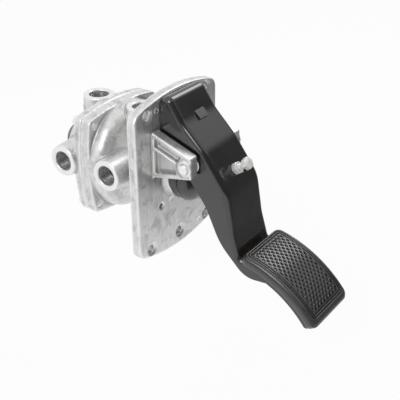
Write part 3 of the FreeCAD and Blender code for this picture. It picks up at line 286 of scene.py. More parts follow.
class Finishes:
    """The materials, each made once from the chosen colours."""

    def __init__(self, colours):
        self.grain = surface_grain()
        self.wear = edge_wear()
        self.marks = tool_marks()
        self.stains = casting_stains()
        bright = colours.machined
        self.made = {
            "cast": self.cast(colours.cast, bright),
            "machined": self.machined(bright),
            # The bores' metal is darkened to 0.40 of the machined colour: painted shade inside the ports.
            "bored": self.plain("shaded_bore_aluminium", shade(bright, 0.40)[:3], (0.21, 0.33)),
            "turned": self.plain("turned_aluminium", bright, (0.27, 0.39)),
            "zinc": self.plain("zinc_plate", colours.zinc, (0.25, 0.37), metallic=0.4),
            "brass": self.plain("brass", colours.brass, (0.30, 0.42)),
            # The pivot bushes are darkened to 0.11: painted shade for the narrow gap where they show.
            "bronze": self.plain("bronze", colours.bronze, (0.40, 0.52)),
            "paint": self.paint(colours.paint, colours.dust),
            "rubber": self.rubber(colours.rubber),
            "plastic": self.plain("black_plastic", colours.plastic, (0.38, 0.48), metallic=0.0,
                                  shades=(1.0, 1.4), scales=(1800.0, 120.0), bump=(0.25, 0.08)),
        }

    def __getitem__(self, name):
        return self.made[name]

    def start(self, name):
        """A new material, its tree and its shader's inputs."""
        material = bpy.data.materials.new(name)
        material.use_nodes = True
        return material, material.node_tree, material.node_tree.nodes["Principled BSDF"].inputs

    def skin(self, tree, grain, drift):
        """Object coordinates and the grain of the surface on them."""
        spot = tree.nodes.new("ShaderNodeTexCoord").outputs["Object"]
        return spot, self.group(tree, self.grain, Vector=spot, Grain_per_metre=grain, Drift_per_metre=drift)

    def group(self, tree, group, **values):
        return add_node(tree, "ShaderNodeGroup", {"node_tree": group}, **values).outputs

    def tones(self, tree, factor, base, low, high):
        return blend_colours(tree, factor, shade(base, low), shade(base, high))

    def over(self, tree, below, mask, share, top):
        """The colour below with another over it where the mask is, at this share."""
        return blend_colours(tree, calc(tree, "MULTIPLY", mask, share), below, top)

    def bump(self, tree, inputs, height, strength, distance):
        node = add_node(tree, "ShaderNodeBump", Strength=strength, Distance=distance * MM, Height=height)
        connect(tree, node.outputs["Normal"], inputs["Normal"])

    def cast(self, base, bright):
        material, tree, inputs = self.start("cast_aluminium")
        spot, skin = self.skin(tree, 620.0, 70.0)
        wear = self.group(tree, self.wear, Vector=spot, Relief=attribute(tree, "relief"),
                          Break_up_per_metre=180.0)
        stains = self.group(tree, self.stains, Vector=spot, Blots_per_metre=75.0, Streaks_per_metre=260.0)
        body = self.tones(tree, skin["Drift"], base, 0.88, 1.0)
        specks = remap(tree, skin["Height"], 0.35, 0.65, 0.0, 0.35)
        tone = blend_colours(tree, specks, body, shade(base, 0.75))
        tone = self.over(tree, tone, stains["Blots"], 0.85, shade(base, 0.50))
        tone = self.over(tree, tone, stains["Streaks"], 0.45, shade(base, 0.60))
        # Convex edges lightened towards the machined colour, partly worn bare metal and partly painted
        # highlight; hollows darkened as painted shade.
        tone = self.over(tree, tone, wear["Edge"], 0.5, shade(bright, 1.0))
        tone = self.over(tree, tone, wear["Hollow"], 0.7, shade(base, 0.45))
        connect(tree, tone, inputs["Base Color"])
        connect(tree, 0.85, inputs["Metallic"])
        connect(tree, remap(tree, skin["Drift"], 0.0, 1.0, 0.34, 0.44), inputs["Roughness"])
        self.bump(tree, inputs, skin["Height"], 0.5, 0.30)
        return material

    def machined(self, base):
        material, tree, inputs = self.start("machined_aluminium")
        own = tree.nodes.new("ShaderNodeUVMap").outputs["UV"]
        marks = self.group(tree, self.marks, UV=own, Rings_per_metre=1400.0)
        connect(tree, self.tones(tree, marks["Shade"], base, 0.8, 1.0), inputs["Base Color"])
        connect(tree, 0.4, inputs["Metallic"])
        connect(tree, remap(tree, marks["Shade"], 0.3, 0.7, 0.24, 0.36), inputs["Roughness"])
        self.bump(tree, inputs, marks["Height"], 0.25, 0.05)
        return material

    def plain(self, name, base, rough, metallic=1.0, shades=(0.85, 1.0), scales=(2500.0, 300.0),
              bump=(0.2, 0.04)):
        """A metal or plastic of one colour, from its range of roughness."""
        material, tree, inputs = self.start(name)
        skin = self.skin(tree, *scales)[1]
        connect(tree, self.tones(tree, skin["Drift"], base, *shades), inputs["Base Color"])
        connect(tree, metallic, inputs["Metallic"])
        connect(tree, remap(tree, skin["Drift"], 0.0, 1.0, *rough), inputs["Roughness"])
        self.bump(tree, inputs, skin["Height"], *bump)
        return material

    def paint(self, base, dust):
        material, tree, inputs = self.start("black_paint")
        spot, skin = self.skin(tree, 420.0, 35.0)
        tone = self.tones(tree, skin["Drift"], base, 1.0, 1.7)
        # Lighter, browner paint towards the bottom of the pedal: painted light where the pad's reflection
        # leaves it dark.
        low = remap(tree, split(tree, spot)["Z"], 0.0, -0.055, 0.0, 0.8)
        lightened_low = calc(tree, "MULTIPLY", low, remap(tree, skin["Drift"], 0.0, 1.0, 0.55, 1.0))
        connect(tree, blend_colours(tree, lightened_low, tone, shade(dust, 1.0)), inputs["Base Color"])
        connect(tree, remap(tree, skin["Drift"], 0.0, 1.0, 0.13, 0.20), inputs["Roughness"])
        connect(tree, 0.95, inputs["Specular IOR Level"])
        connect(tree, 0.1, inputs["Coat Weight"])
        connect(tree, 0.06, inputs["Coat Roughness"])
        self.bump(tree, inputs, skin["Height"], 0.10, 0.12)
        return material

    def rubber(self, base):
        material, tree, inputs = self.start("black_rubber")
        skin = self.skin(tree, 1300.0, 90.0)[1]
        # Grooves and pits are darkened to 0.12 of the base: painted shade.
        pit = attribute(tree, "pit")
        tone = self.tones(tree, skin["Drift"], base, 1.0, 1.5)
        connect(tree, blend_colours(tree, pit, tone, shade(base, 0.12)), inputs["Base Color"])
        gloss = remap(tree, skin["Drift"], 0.0, 1.0, 0.16, 0.25)
        connect(tree, calc(tree, "MULTIPLY_ADD", pit, 0.5, gloss), inputs["Roughness"])
        connect(tree, 0.8, inputs["Specular IOR Level"])
        self.bump(tree, inputs, skin["Height"], 0.30, 0.08)
        return material


FINISHES = {}


def finish(name):
    """The named material, made with all the others the first time one is asked for."""
    if not FINISHES:
        FINISHES["all"] = Finishes(bpy.context.scene.valve_colours)
    return FINISHES["all"][name]


# Mesh helpers

def place(name, mesh, body, finish_name, replaces=()):
    """Makes the piece's object, rides it on its body and hides the nodes that it stands for."""
    piece = bpy.data.objects.new(name, mesh)
    bpy.context.scene.collection.objects.link(piece)
    mesh.materials.clear()
    mesh.materials.append(finish(finish_name))
    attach(piece, body)
    if replaces:
        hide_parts(*replaces)
    return piece


def mesh_from(bm, name, sharp=SMOOTH_UP_TO):
    mesh = bpy.data.meshes.new(name)
    bm.to_mesh(mesh)
    bm.free()
    return smoothed(mesh, sharp)


def smoothed(mesh, sharp):
    mesh.shade_smooth()
    mesh.set_sharp_from_angle(angle=sharp)
    return mesh


def merged_copy(node):
    """A bmesh of a CAD node with its loose triangles joined."""
    bm = bmesh.new()
    bm.from_mesh(frame["nodes"][node].data)
    bmesh.ops.remove_doubles(bm, verts=bm.verts, dist=JOINED_WITHIN)
    return bm


def through_modifiers(mesh, modifiers):
    """The mesh that a temporary object gives with these modifiers: (kind, settings) pairs."""
    holder = bpy.data.objects.new("holder", mesh)
    bpy.context.scene.collection.objects.link(holder)
    for kind, settings in modifiers:
        modifier = holder.modifiers.new(kind.lower(), kind)
        for name, value in settings.items():
            if kind == "NODES" and name != "node_group":
                modifier[name] = value
            else:
                setattr(modifier, name, value)
    bpy.context.view_layer.update()
    evaluated = holder.evaluated_get(bpy.context.evaluated_depsgraph_get())
    made = bpy.data.meshes.new_from_object(evaluated)
    bpy.data.objects.remove(holder)
    return made


def through_tree(mesh, tree, values):
    """The plain mesh that a geometry node tree makes of this one, or of nothing, with named values."""
    sockets = {item.name: item.identifier for item in tree.interface.items_tree
               if item.item_type == "SOCKET" and item.in_out == "INPUT"}
    settings = {sockets[name]: value for name, value in values.items()}
    return through_modifiers(mesh or bpy.data.meshes.new("empty"),
                             [("NODES", {"node_group": tree, **settings})])


def eased(node, width, sharp):
    """A CAD node's mesh with its edges rounded off by this width in metres."""
    bm = merged_copy(node)
    bmesh.ops.dissolve_limit(bm, angle_limit=FLAT_WITHIN, verts=bm.verts, edges=bm.edges)
    mesh = through_modifiers(mesh_from(bm, node + "_source"), [
        ("BEVEL", {"width": width, "segments": 2, "limit_method": "ANGLE", "angle_limit": BEVELLED_FROM}),
    ])
    return smoothed(mesh, sharp)


def towards(origin, axis):
    """Matrix that takes local Z to this axis and the local origin to this point, in millimetres."""
    turn = Vector((0, 0, 1)).rotation_difference(Vector(axis)).to_matrix().to_4x4()
    return Matrix.Translation(Vector(origin) * MM) @ turn


def bridge(bm, low, high):
    """Faces between two closed rings of as many points."""
    for step in range(len(low)):
        after = (step + 1) % len(low)
        bm.faces.new((low[step], low[after], high[after], high[step]))


def spun(bm, profile, matrix, segments):
    """Adds the surface that a profile of (radius, height) in millimetres sweeps round local Z.
    Ends on the axis become poles, an open profile is closed, and UVs run round and along."""
    uv = bm.loops.layers.uv.verify()
    angles = [math.tau * step / segments for step in range(segments)]
    rings = []
    for radius, height in profile:
        around = [(math.cos(angle), math.sin(angle)) for angle in (angles if radius > 0 else angles[:1])]
        rings.append([bm.verts.new(matrix @ Vector((radius * MM * x, radius * MM * y, height * MM)))
                      for x, y in around])
    closed = len(rings[0]) > 1 and len(rings[-1]) > 1
    run = [0.0]
    for (r0, h0), (r1, h1) in zip(profile, profile[1:] + profile[:1]):
        run.append(run[-1] + math.hypot(r1 - r0, h1 - h0) * MM)
    for index in range(len(rings) if closed else len(rings) - 1):
        low, high = rings[index], rings[(index + 1) % len(rings)]
        for step in range(segments):
            after = (step + 1) % segments
            corners = [(low, step, 0, 0), (low, after, 1, 0), (high, after, 1, 1), (high, step, 0, 1)]
            face_verts, face_uv = [], []
            for ring, number, across, along in corners:
                vert = ring[number % len(ring)]
                if vert not in face_verts:
                    face_verts.append(vert)
                    face_uv.append(((step + across) / segments, run[index + along]))
            face = bm.faces.new(face_verts)
            for loop, value in zip(face.loops, face_uv):
                loop[uv].uv = value


def outward(bm):
    bmesh.ops.recalc_face_normals(bm, faces=bm.faces)


def turned(name, profile, matrix, segments, sharp=SMOOTH_UP_TO):
    """The mesh that a profile sweeps round local Z."""
    bm = bmesh.new()
    spun(bm, profile, matrix, segments)
    outward(bm)
    return mesh_from(bm, name, sharp)


def hexagon_head(bm, matrix, across, height, hole=0.0, double=False, steps=6):
    """A hexagon on local Z from 0 to height, chamfered above or on both sides, with a nut's hole."""
    flat, corner = across / 2, across / math.sqrt(3)
    inner, edge, mouth = flat * 0.93, 0.45, 0.5
    outline = []
    for side in range(6):
        first, last = (Vector((math.cos(math.tau * number / 6), math.sin(math.tau * number / 6)))
                       for number in (side, side + 1))
        outline += [first.lerp(last, step / steps) * corner for step in range(steps)]

    def drop(point):
        return max(0.0, point.length - flat * 0.97) * math.tan(math.radians(32))

    circle = [point.normalized() for point in outline]
    levels = [
        [(p * inner, 0.0) for p in circle],
        [(p, drop(p) if double else 0.0) for p in outline],
        [(p, height - drop(p)) for p in outline],
        [(p * inner, height) for p in circle],
    ]
    if hole:
        levels = [
            [(p * hole, edge) for p in circle], [(p * (hole + mouth), 0.0) for p in circle], *levels,
            [(p * (hole + mouth), height) for p in circle], [(p * hole, height - edge) for p in circle],
        ]
    rings = [[bm.verts.new(matrix @ Vector((p.x * MM, p.y * MM, z * MM))) for p, z in level]
             for level in levels]
    for low, high in zip(rings, rings[1:]):
        bridge(bm, low, high)
    if hole:
        bridge(bm, rings[-1], rings[0])
    else:
        bm.faces.new(rings[0][::-1])
        bm.faces.new(rings[-1])


def write_attribute(mesh, name, values):
    mesh.attributes.new(name, "FLOAT", "POINT").data.foreach_set("value", values)


def mark_pits(mesh, deep):
    """Writes the attribute by which grooves and pits of rubber get painted shade."""
    values = np.zeros(len(mesh.vertices), dtype=np.float32)
    values[list(deep)] = 1.0
    write_attribute(mesh, "pit", values)


def relief_of(mesh, reach=2.2, rounds=4):
    """Writes how far each point of a dense mesh stands out of its surroundings, 0.5 where flat."""
    number = len(mesh.vertices)

    def read(rows, name, wide, kind):
        values = np.zeros(len(rows) * wide, dtype=kind)
        rows.foreach_get(name, values)
        return values.reshape(-1, wide)

    places, normals = (read(mesh.vertices, name, 3, float) for name in ("co", "normal"))
    ends = read(mesh.edges, "vertices", 2, np.int64)
    near = np.bincount(ends.ravel(), minlength=number).astype(float)
    smooth = places.copy()
    for _ in range(rounds):
        total = np.zeros_like(smooth)
        for axis in range(3):
            total[:, axis] = (np.bincount(ends[:, 0], smooth[ends[:, 1], axis], number)
                              + np.bincount(ends[:, 1], smooth[ends[:, 0], axis], number))
        smooth = total / np.maximum(near, 1.0)[:, None]
    stand = ((places - smooth) * normals).sum(1) / MM
    write_attribute(mesh, "relief", np.clip(0.5 + stand * reach, 0.0, 1.0).astype(np.float32))


# Geometry node trees

def shape_tree(name, inputs):
    """A tree from a mesh and a material to a mesh, with these inputs besides."""
    return new_tree(name, "GeometryNodeTree", {"Geometry": "Geometry", **inputs, "Material": "Material"},
                    {"Geometry": "Geometry"})


def close_tree(tree, geometry, given, result):
    """Makes the instances real, gives them the material and ends the tree."""
    real = add_node(tree, "GeometryNodeRealizeInstances", Geometry=geometry)
    painted = add_node(tree, "GeometryNodeSetMaterial", Geometry=real.outputs["Geometry"],
                       Material=given["Material"])
    connect(tree, painted.outputs["Geometry"], result["Geometry"])
    return tree


def copies(tree, points, piece, **values):
    return add_node(tree, "GeometryNodeInstanceOnPoints", Points=points, Instance=piece,
                    **values).outputs["Instances"]


def tube(tree, path, radius, sides, **values):
    """The mesh of a path with a round section."""
    section = add_node(tree, "GeometryNodeCurvePrimitiveCircle", Radius=radius, Resolution=sides)
    return add_node(tree, "GeometryNodeCurveToMesh", Curve=path.outputs["Curve"],
                    Profile_Curve=section.outputs["Curve"], **values).outputs["Mesh"]


def ring_stack():
    """Rings of triangular section one above the other along Z, as the ridges of a thread."""
    tree, given, result = shape_tree("ring_stack", {
        "Radius": 0.01, "Depth": 0.0005, "Pitch": 0.0015, "Turns": 8, "Segments": 48})
    path = add_node(tree, "GeometryNodeCurvePrimitiveCircle", Radius=given["Radius"],
                    Resolution=given["Segments"])
    ring = tube(tree, path, given["Depth"], 3)
    step = add_node(tree, "ShaderNodeCombineXYZ", Z=given["Pitch"])
    points = add_node(tree, "GeometryNodeMeshLine", Count=given["Turns"], Offset=step.outputs["Vector"])
    return close_tree(tree, copies(tree, points.outputs["Mesh"], ring), given, result)


def pieces_on_points():
    """One copy of a piece at each point of the mesh, unturned."""
    tree, given, result = shape_tree("pieces_on_points", {"Piece": "Object"})
    piece = add_node(tree, "GeometryNodeObjectInfo", Object=given["Piece"]).outputs["Geometry"]
    return close_tree(tree, copies(tree, given["Geometry"], piece), given, result)


def pieces_in_a_ring():
    """Copies of the mesh set evenly round Z, each turned to its place."""
    tree, given, result = shape_tree("pieces_in_a_ring", {"Count": 12, "Radius": 0.01})
    points = add_node(tree, "GeometryNodeMeshCircle", Vertices=given["Count"], Radius=given["Radius"])
    index = add_node(tree, "GeometryNodeInputIndex").outputs["Index"]
    angle = calc(tree, "DIVIDE", calc(tree, "MULTIPLY", index, math.tau), given["Count"])
    turn = add_node(tree, "ShaderNodeCombineXYZ", Z=angle).outputs["Vector"]
    ring = copies(tree, points.outputs["Mesh"], given["Geometry"], Rotation=turn)
    return close_tree(tree, ring, given, result)


def wound_wire():
    """A round wire wound into a cylindrical spring that stands on the origin along Z."""
    tree, given, result = shape_tree("wound_wire", {
        "Radius": 0.01, "Wire": 0.001, "Height": 0.01, "Turns": 5.0})
    path = add_node(tree, "GeometryNodeCurveSpiral", Resolution=32, Rotations=given["Turns"],
                    Start_Radius=given["Radius"], End_Radius=given["Radius"], Height=given["Height"])
    return close_tree(tree, tube(tree, path, given["Wire"], 10, Fill_Caps=True), given, result)


def lozenge_tread():
    """Staggered rows of the mesh, laid flat and then bent round an axis along X."""
    tree, given, result = shape_tree("lozenge_tread", {
        "Across": 11, "Along": 11, "Width": 0.0042, "Length": 0.007, "Middle": 0.0645,
        "Radius": 0.122, "Axis Y": -0.0914, "Axis Z": -0.171})
    both = tree.nodes.new("GeometryNodeJoinGeometry")
    for less in (0.0, 1.0):
        grid = {}
        for side, number, pitch in (("X", "Across", "Width"), ("Y", "Along", "Length")):
            rows = calc(tree, "SUBTRACT", given[number], less)
            grid["Vertices_" + side] = rows
            grid["Size_" + side] = calc(tree, "MULTIPLY", calc(tree, "SUBTRACT", rows, 1.0), given[pitch])
        points = add_node(tree, "GeometryNodeMeshGrid", **grid).outputs["Mesh"]
        connect(tree, copies(tree, points, given["Geometry"]), both.inputs["Geometry"])
    real = add_node(tree, "GeometryNodeRealizeInstances", Geometry=both.outputs["Geometry"])
    flat = split(tree, add_node(tree, "GeometryNodeInputPosition").outputs["Position"])
    angle = calc(tree, "DIVIDE", calc(tree, "ADD", flat["Y"], given["Middle"]), given["Radius"])
    reach = calc(tree, "ADD", flat["Z"], given["Radius"])
    back = calc(tree, "MULTIPLY", reach, calc(tree, "SINE", angle))
    up = calc(tree, "MULTIPLY", reach, calc(tree, "COSINE", angle))
    bent = add_node(tree, "ShaderNodeCombineXYZ", X=flat["X"],
                    Y=calc(tree, "SUBTRACT", given["Axis Y"], back),
                    Z=calc(tree, "ADD", given["Axis Z"], up))
    moved = add_node(tree, "GeometryNodeSetPosition", Geometry=real.outputs["Geometry"],
                     Position=bent.outputs["Vector"])
    return close_tree(tree, moved.outputs["Geometry"], given, result)


# Operators

class FOOTVALVE_OT_stage(bpy.types.Operator):
    """Floor, soft lamps, white background and the camera"""
    bl_idname = "foot_valve.stage"
    bl_label = "Stage"

    FLOOR_LEVEL, FLOOR_HALF = -0.185, 6.0
    CAMERA_PLACE = (-0.57715, -0.45309, 0.36809)
    CAMERA_TURN = (54.13, 29.07, -0.3153)
    FOCAL_PIXELS, PICTURE_PIXELS, SENSOR_WIDTH = 819.62, 400, 36.0

    def execute(self, context):
        scene = context.scene
        self.add_floor(scene)
        self.add_world(scene)
        self.add_lamp(scene, "key", (-1.25, -0.25, 0.95), (0, 0, 0), 0.8, 8.5)
        self.add_lamp(scene, "overhead", (1.0, -0.15, 1.05), (0, -0.05, 0), 0.6, 3.6)
        self.add_camera(scene)
        scene.view_settings.view_transform = "Standard"
        return {"FINISHED"}

    def add_floor(self, scene):
        """A pale floor that the camera sees as white, and that mirrors darker towards one side."""
        bm = bmesh.new()
        bmesh.ops.create_grid(bm, x_segments=8, y_segments=8, size=self.FLOOR_HALF,
                              matrix=Matrix.Translation((0, 0, self.FLOOR_LEVEL)))
        mesh = mesh_from(bm, "floor")
        material = bpy.data.materials.new("pale_floor")
        material.use_nodes = True
        tree = material.node_tree
        shader = tree.nodes["Principled BSDF"]
        spot = tree.nodes.new("ShaderNodeTexCoord").outputs["Object"]
        base = scene.valve_colours.floor
        tone = blend_colours(tree, noise(tree, spot, 40.0), shade(base, 1.0), shade(base, 0.985))
        connect(tree, tone, shader.inputs["Base Color"])
        connect(tree, 0.9, shader.inputs["Roughness"])
        seen = tree.nodes.new("ShaderNodeLightPath").outputs
        parts = split(tree, spot)
        across = calc(tree, "SUBTRACT", parts["Y"], parts["X"])
        mirrored = remap(tree, across, -0.68, -0.22, 0.16, 1.0)
        level = calc(tree, "MAXIMUM", seen["Is Camera Ray"], mirrored)
        white = add_node(tree, "ShaderNodeEmission", Color=WHITE, Strength=level)
        direct = calc(tree, "MAXIMUM", seen["Is Camera Ray"], seen["Is Glossy Ray"])
        mix = add_node(tree, "ShaderNodeMixShader", Fac=calc(tree, "MULTIPLY", direct, 0.92))
        connect(tree, shader.outputs["BSDF"], mix.inputs[1])
        connect(tree, white.outputs["Emission"], mix.inputs[2])
        connect(tree, mix.outputs["Shader"], tree.nodes["Material Output"].inputs["Surface"])
        floor = bpy.data.objects.new("floor", mesh)
        mesh.materials.append(material)
        scene.collection.objects.link(floor)

    def add_world(self, scene):
        """White to the camera; mirrors show a room with one bright side and a bright ceiling."""
        world = bpy.data.worlds.new("studio")
        scene.world = world
        world.use_nodes = True
        tree = world.node_tree
        inputs = tree.nodes["Background"].inputs
        seen = tree.nodes.new("ShaderNodeLightPath").outputs
        away = split(tree, tree.nodes.new("ShaderNodeTexCoord").outputs["Generated"])
        side = remap(tree, away["Y"], -0.30, 0.20, 0.18, 1.0)
        raised = calc(tree, "MULTIPLY_ADD", away["X"], 0.25, away["Z"])
        ceiling = remap(tree, raised, 0.60, 0.70, 0.18, 0.90)
        room = calc(tree, "MAXIMUM", side, ceiling)
        shown = calc(tree, "MAXIMUM", seen["Is Camera Ray"], seen["Is Transmission Ray"])
        mirrored = calc(tree, "MULTIPLY", seen["Is Glossy Ray"], room)
        soft = calc(tree, "MULTIPLY", seen["Is Diffuse Ray"], 0.6)
        level = calc(tree, "MAXIMUM", calc(tree, "MAXIMUM", shown, mirrored), soft)
        connect(tree, WHITE, inputs["Color"])
        connect(tree, level, inputs["Strength"])

    def add_lamp(self, scene, name, origin, target, size, power):
        light = bpy.data.lights.new(name, "AREA")
        light.shape = "DISK"
        light.size = size
        light.energy = power
        lamp = bpy.data.objects.new(name, light)
        lamp.location = origin
        lamp.rotation_euler = (Vector(target) - Vector(origin)).to_track_quat("-Z", "Y").to_euler()
        scene.collection.objects.link(lamp)

    def add_camera(self, scene):
        heading, dip, roll = (math.radians(angle) for angle in self.CAMERA_TURN)
        ahead = Vector((math.cos(dip) * math.sin(heading), math.cos(dip) * math.cos(heading),
                        -math.sin(dip)))
        right = ahead.cross(Vector((0, 0, 1))).normalized()
        up = right.cross(ahead)
        right, up = (math.cos(roll) * right + math.sin(roll) * up,
                     math.cos(roll) * up - math.sin(roll) * right)
        data = bpy.data.cameras.new("camera")
        data.sensor_fit = "HORIZONTAL"
        data.sensor_width = self.SENSOR_WIDTH
        data.lens = self.FOCAL_PIXELS / self.PICTURE_PIXELS * self.SENSOR_WIDTH
        data.clip_start = 0.01
        camera = bpy.data.objects.new("camera", data)
        turn = Matrix((right, up, -ahead)).transposed().to_4x4()
        camera.matrix_world = Matrix.Translation(self.CAMERA_PLACE) @ turn
        scene.collection.objects.link(camera)
        scene.camera = camera


class FOOTVALVE_OT_castings(bpy.types.Operator):
    """Mounting plate and both valve bodies with the soft edges and skin of castings"""
    bl_idname = "foot_valve.castings"
    bl_label = "Castings"

    def execute(self, context):
        sizes = context.scene.valve_sizes
        for node in ("mounting_plate", "upper_body", "lower_body"):
            mesh = through_modifiers(mesh_from(merged_copy(node), node + "_source"), [
                ("REMESH", {"mode": "VOXEL", "voxel_size": sizes.cast_step, "use_smooth_shade": True}),
                ("SMOOTH", {"factor": 0.5, "iterations": sizes.cast_rounds}),
            ])
            mesh.name = node + "_skin"
            relief_of(mesh)
            place(node + "_cast", mesh, "valve", "cast", [node])
        return {"FINISHED"}


class FOOTVALVE_OT_ports(bpy.types.Operator):
    """Machined ring faces, bores and threads of the four ports"""
    bl_idname = "foot_valve.ports"
    bl_label = "Ports"

    SEGMENTS, THREAD_SEGMENTS = 72, 48
    FIRST_RIDGE, BORE_END = -15.0, -15.3

    def execute(self, context):
        sizes = context.scene.valve_sizes
        bore, face, bevel = (size / MM for size in (sizes.port_bore, sizes.port_face, sizes.port_chamfer))
        mouth, low = bore + bevel, -bevel - 0.6
        ring = [
            (bore, low), (mouth, -0.6), (mouth + 0.05, 0.0), (mouth + 0.15, 0.08), (face - 0.4, 0.08),
            (face, -0.1), (face + 0.3, -0.9), (face - 0.6, -0.9), (mouth + 0.4, -0.7),
            (bore + 0.15, -bevel - 0.9),
        ]
        sleeve = [
            (bore - 0.02, low), (bore - 0.02, self.BORE_END), (6.0, -15.5), (6.0, -15.8),
            (bore + 0.25, -15.6), (bore + 0.25, low),
        ]
        tree = ring_stack()
        for name, origin, axis in PORTS:
            matrix = towards(origin, axis)
            threads = through_tree(None, tree, {
                "Radius": sizes.port_bore, "Depth": sizes.thread_depth, "Pitch": sizes.thread_pitch,
                "Turns": sizes.thread_turns, "Segments": self.THREAD_SEGMENTS,
                "Material": finish("bored")})
            threads.transform(matrix @ Matrix.Translation((0, 0, self.FIRST_RIDGE * MM)))
            for title, mesh, look in (
                    ("port_bore_", turned(name + "_bore", sleeve, matrix, self.SEGMENTS), "bored"),
                    ("port_face_", turned(name + "_ring", ring, matrix, self.SEGMENTS), "machined"),
                    ("port_thread_", threads, "bored")):
                place(title + name, mesh, "valve", look)
        return {"FINISHED"}


class FOOTVALVE_OT_plate_marks(bpy.types.Operator):
    """Round ejector marks on the mounting plate's face"""
    bl_idname = "foot_valve.plate_marks"
    bl_label = "Ejector marks"

    PLATE_FACE = -9.9

    def execute(self, context):
        bm = bmesh.new()
        for x, z, radius in ((-32.1, 72.5, 3.0), (-13.7, -27.6, 3.8), (31.8, -72.5, 3.0)):
            spun(bm, [
                (0, 0.18), (radius - 0.9, 0.2), (radius - 0.6, 0.55), (radius - 0.2, 0.6),
                (radius, 0.45), (radius + 0.15, -0.4), (0, -0.4),
            ], towards((x, self.PLATE_FACE, z), (0, -1, 0)), 32)
        outward(bm)
        place("ejector_marks", mesh_from(bm, "ejector_marks"), "valve", "turned")
        return {"FINISHED"}


class FOOTVALVE_OT_pedal_arm(bpy.types.Operator):
    """Pressed and painted pedal arm with eased sheet edges"""
    bl_idname = "foot_valve.pedal_arm"
    bl_label = "Pedal arm"

    def execute(self, context):
        mesh = eased("pedal_arm", context.scene.valve_sizes.sheet_edge, math.radians(50))
        mesh = through_modifiers(mesh, [("WEIGHTED_NORMAL", {"keep_sharp": True, "weight": 50})])
        place("pedal_arm_painted", mesh, "pedal", "paint", ["pedal_arm"])
        return {"FINISHED"}


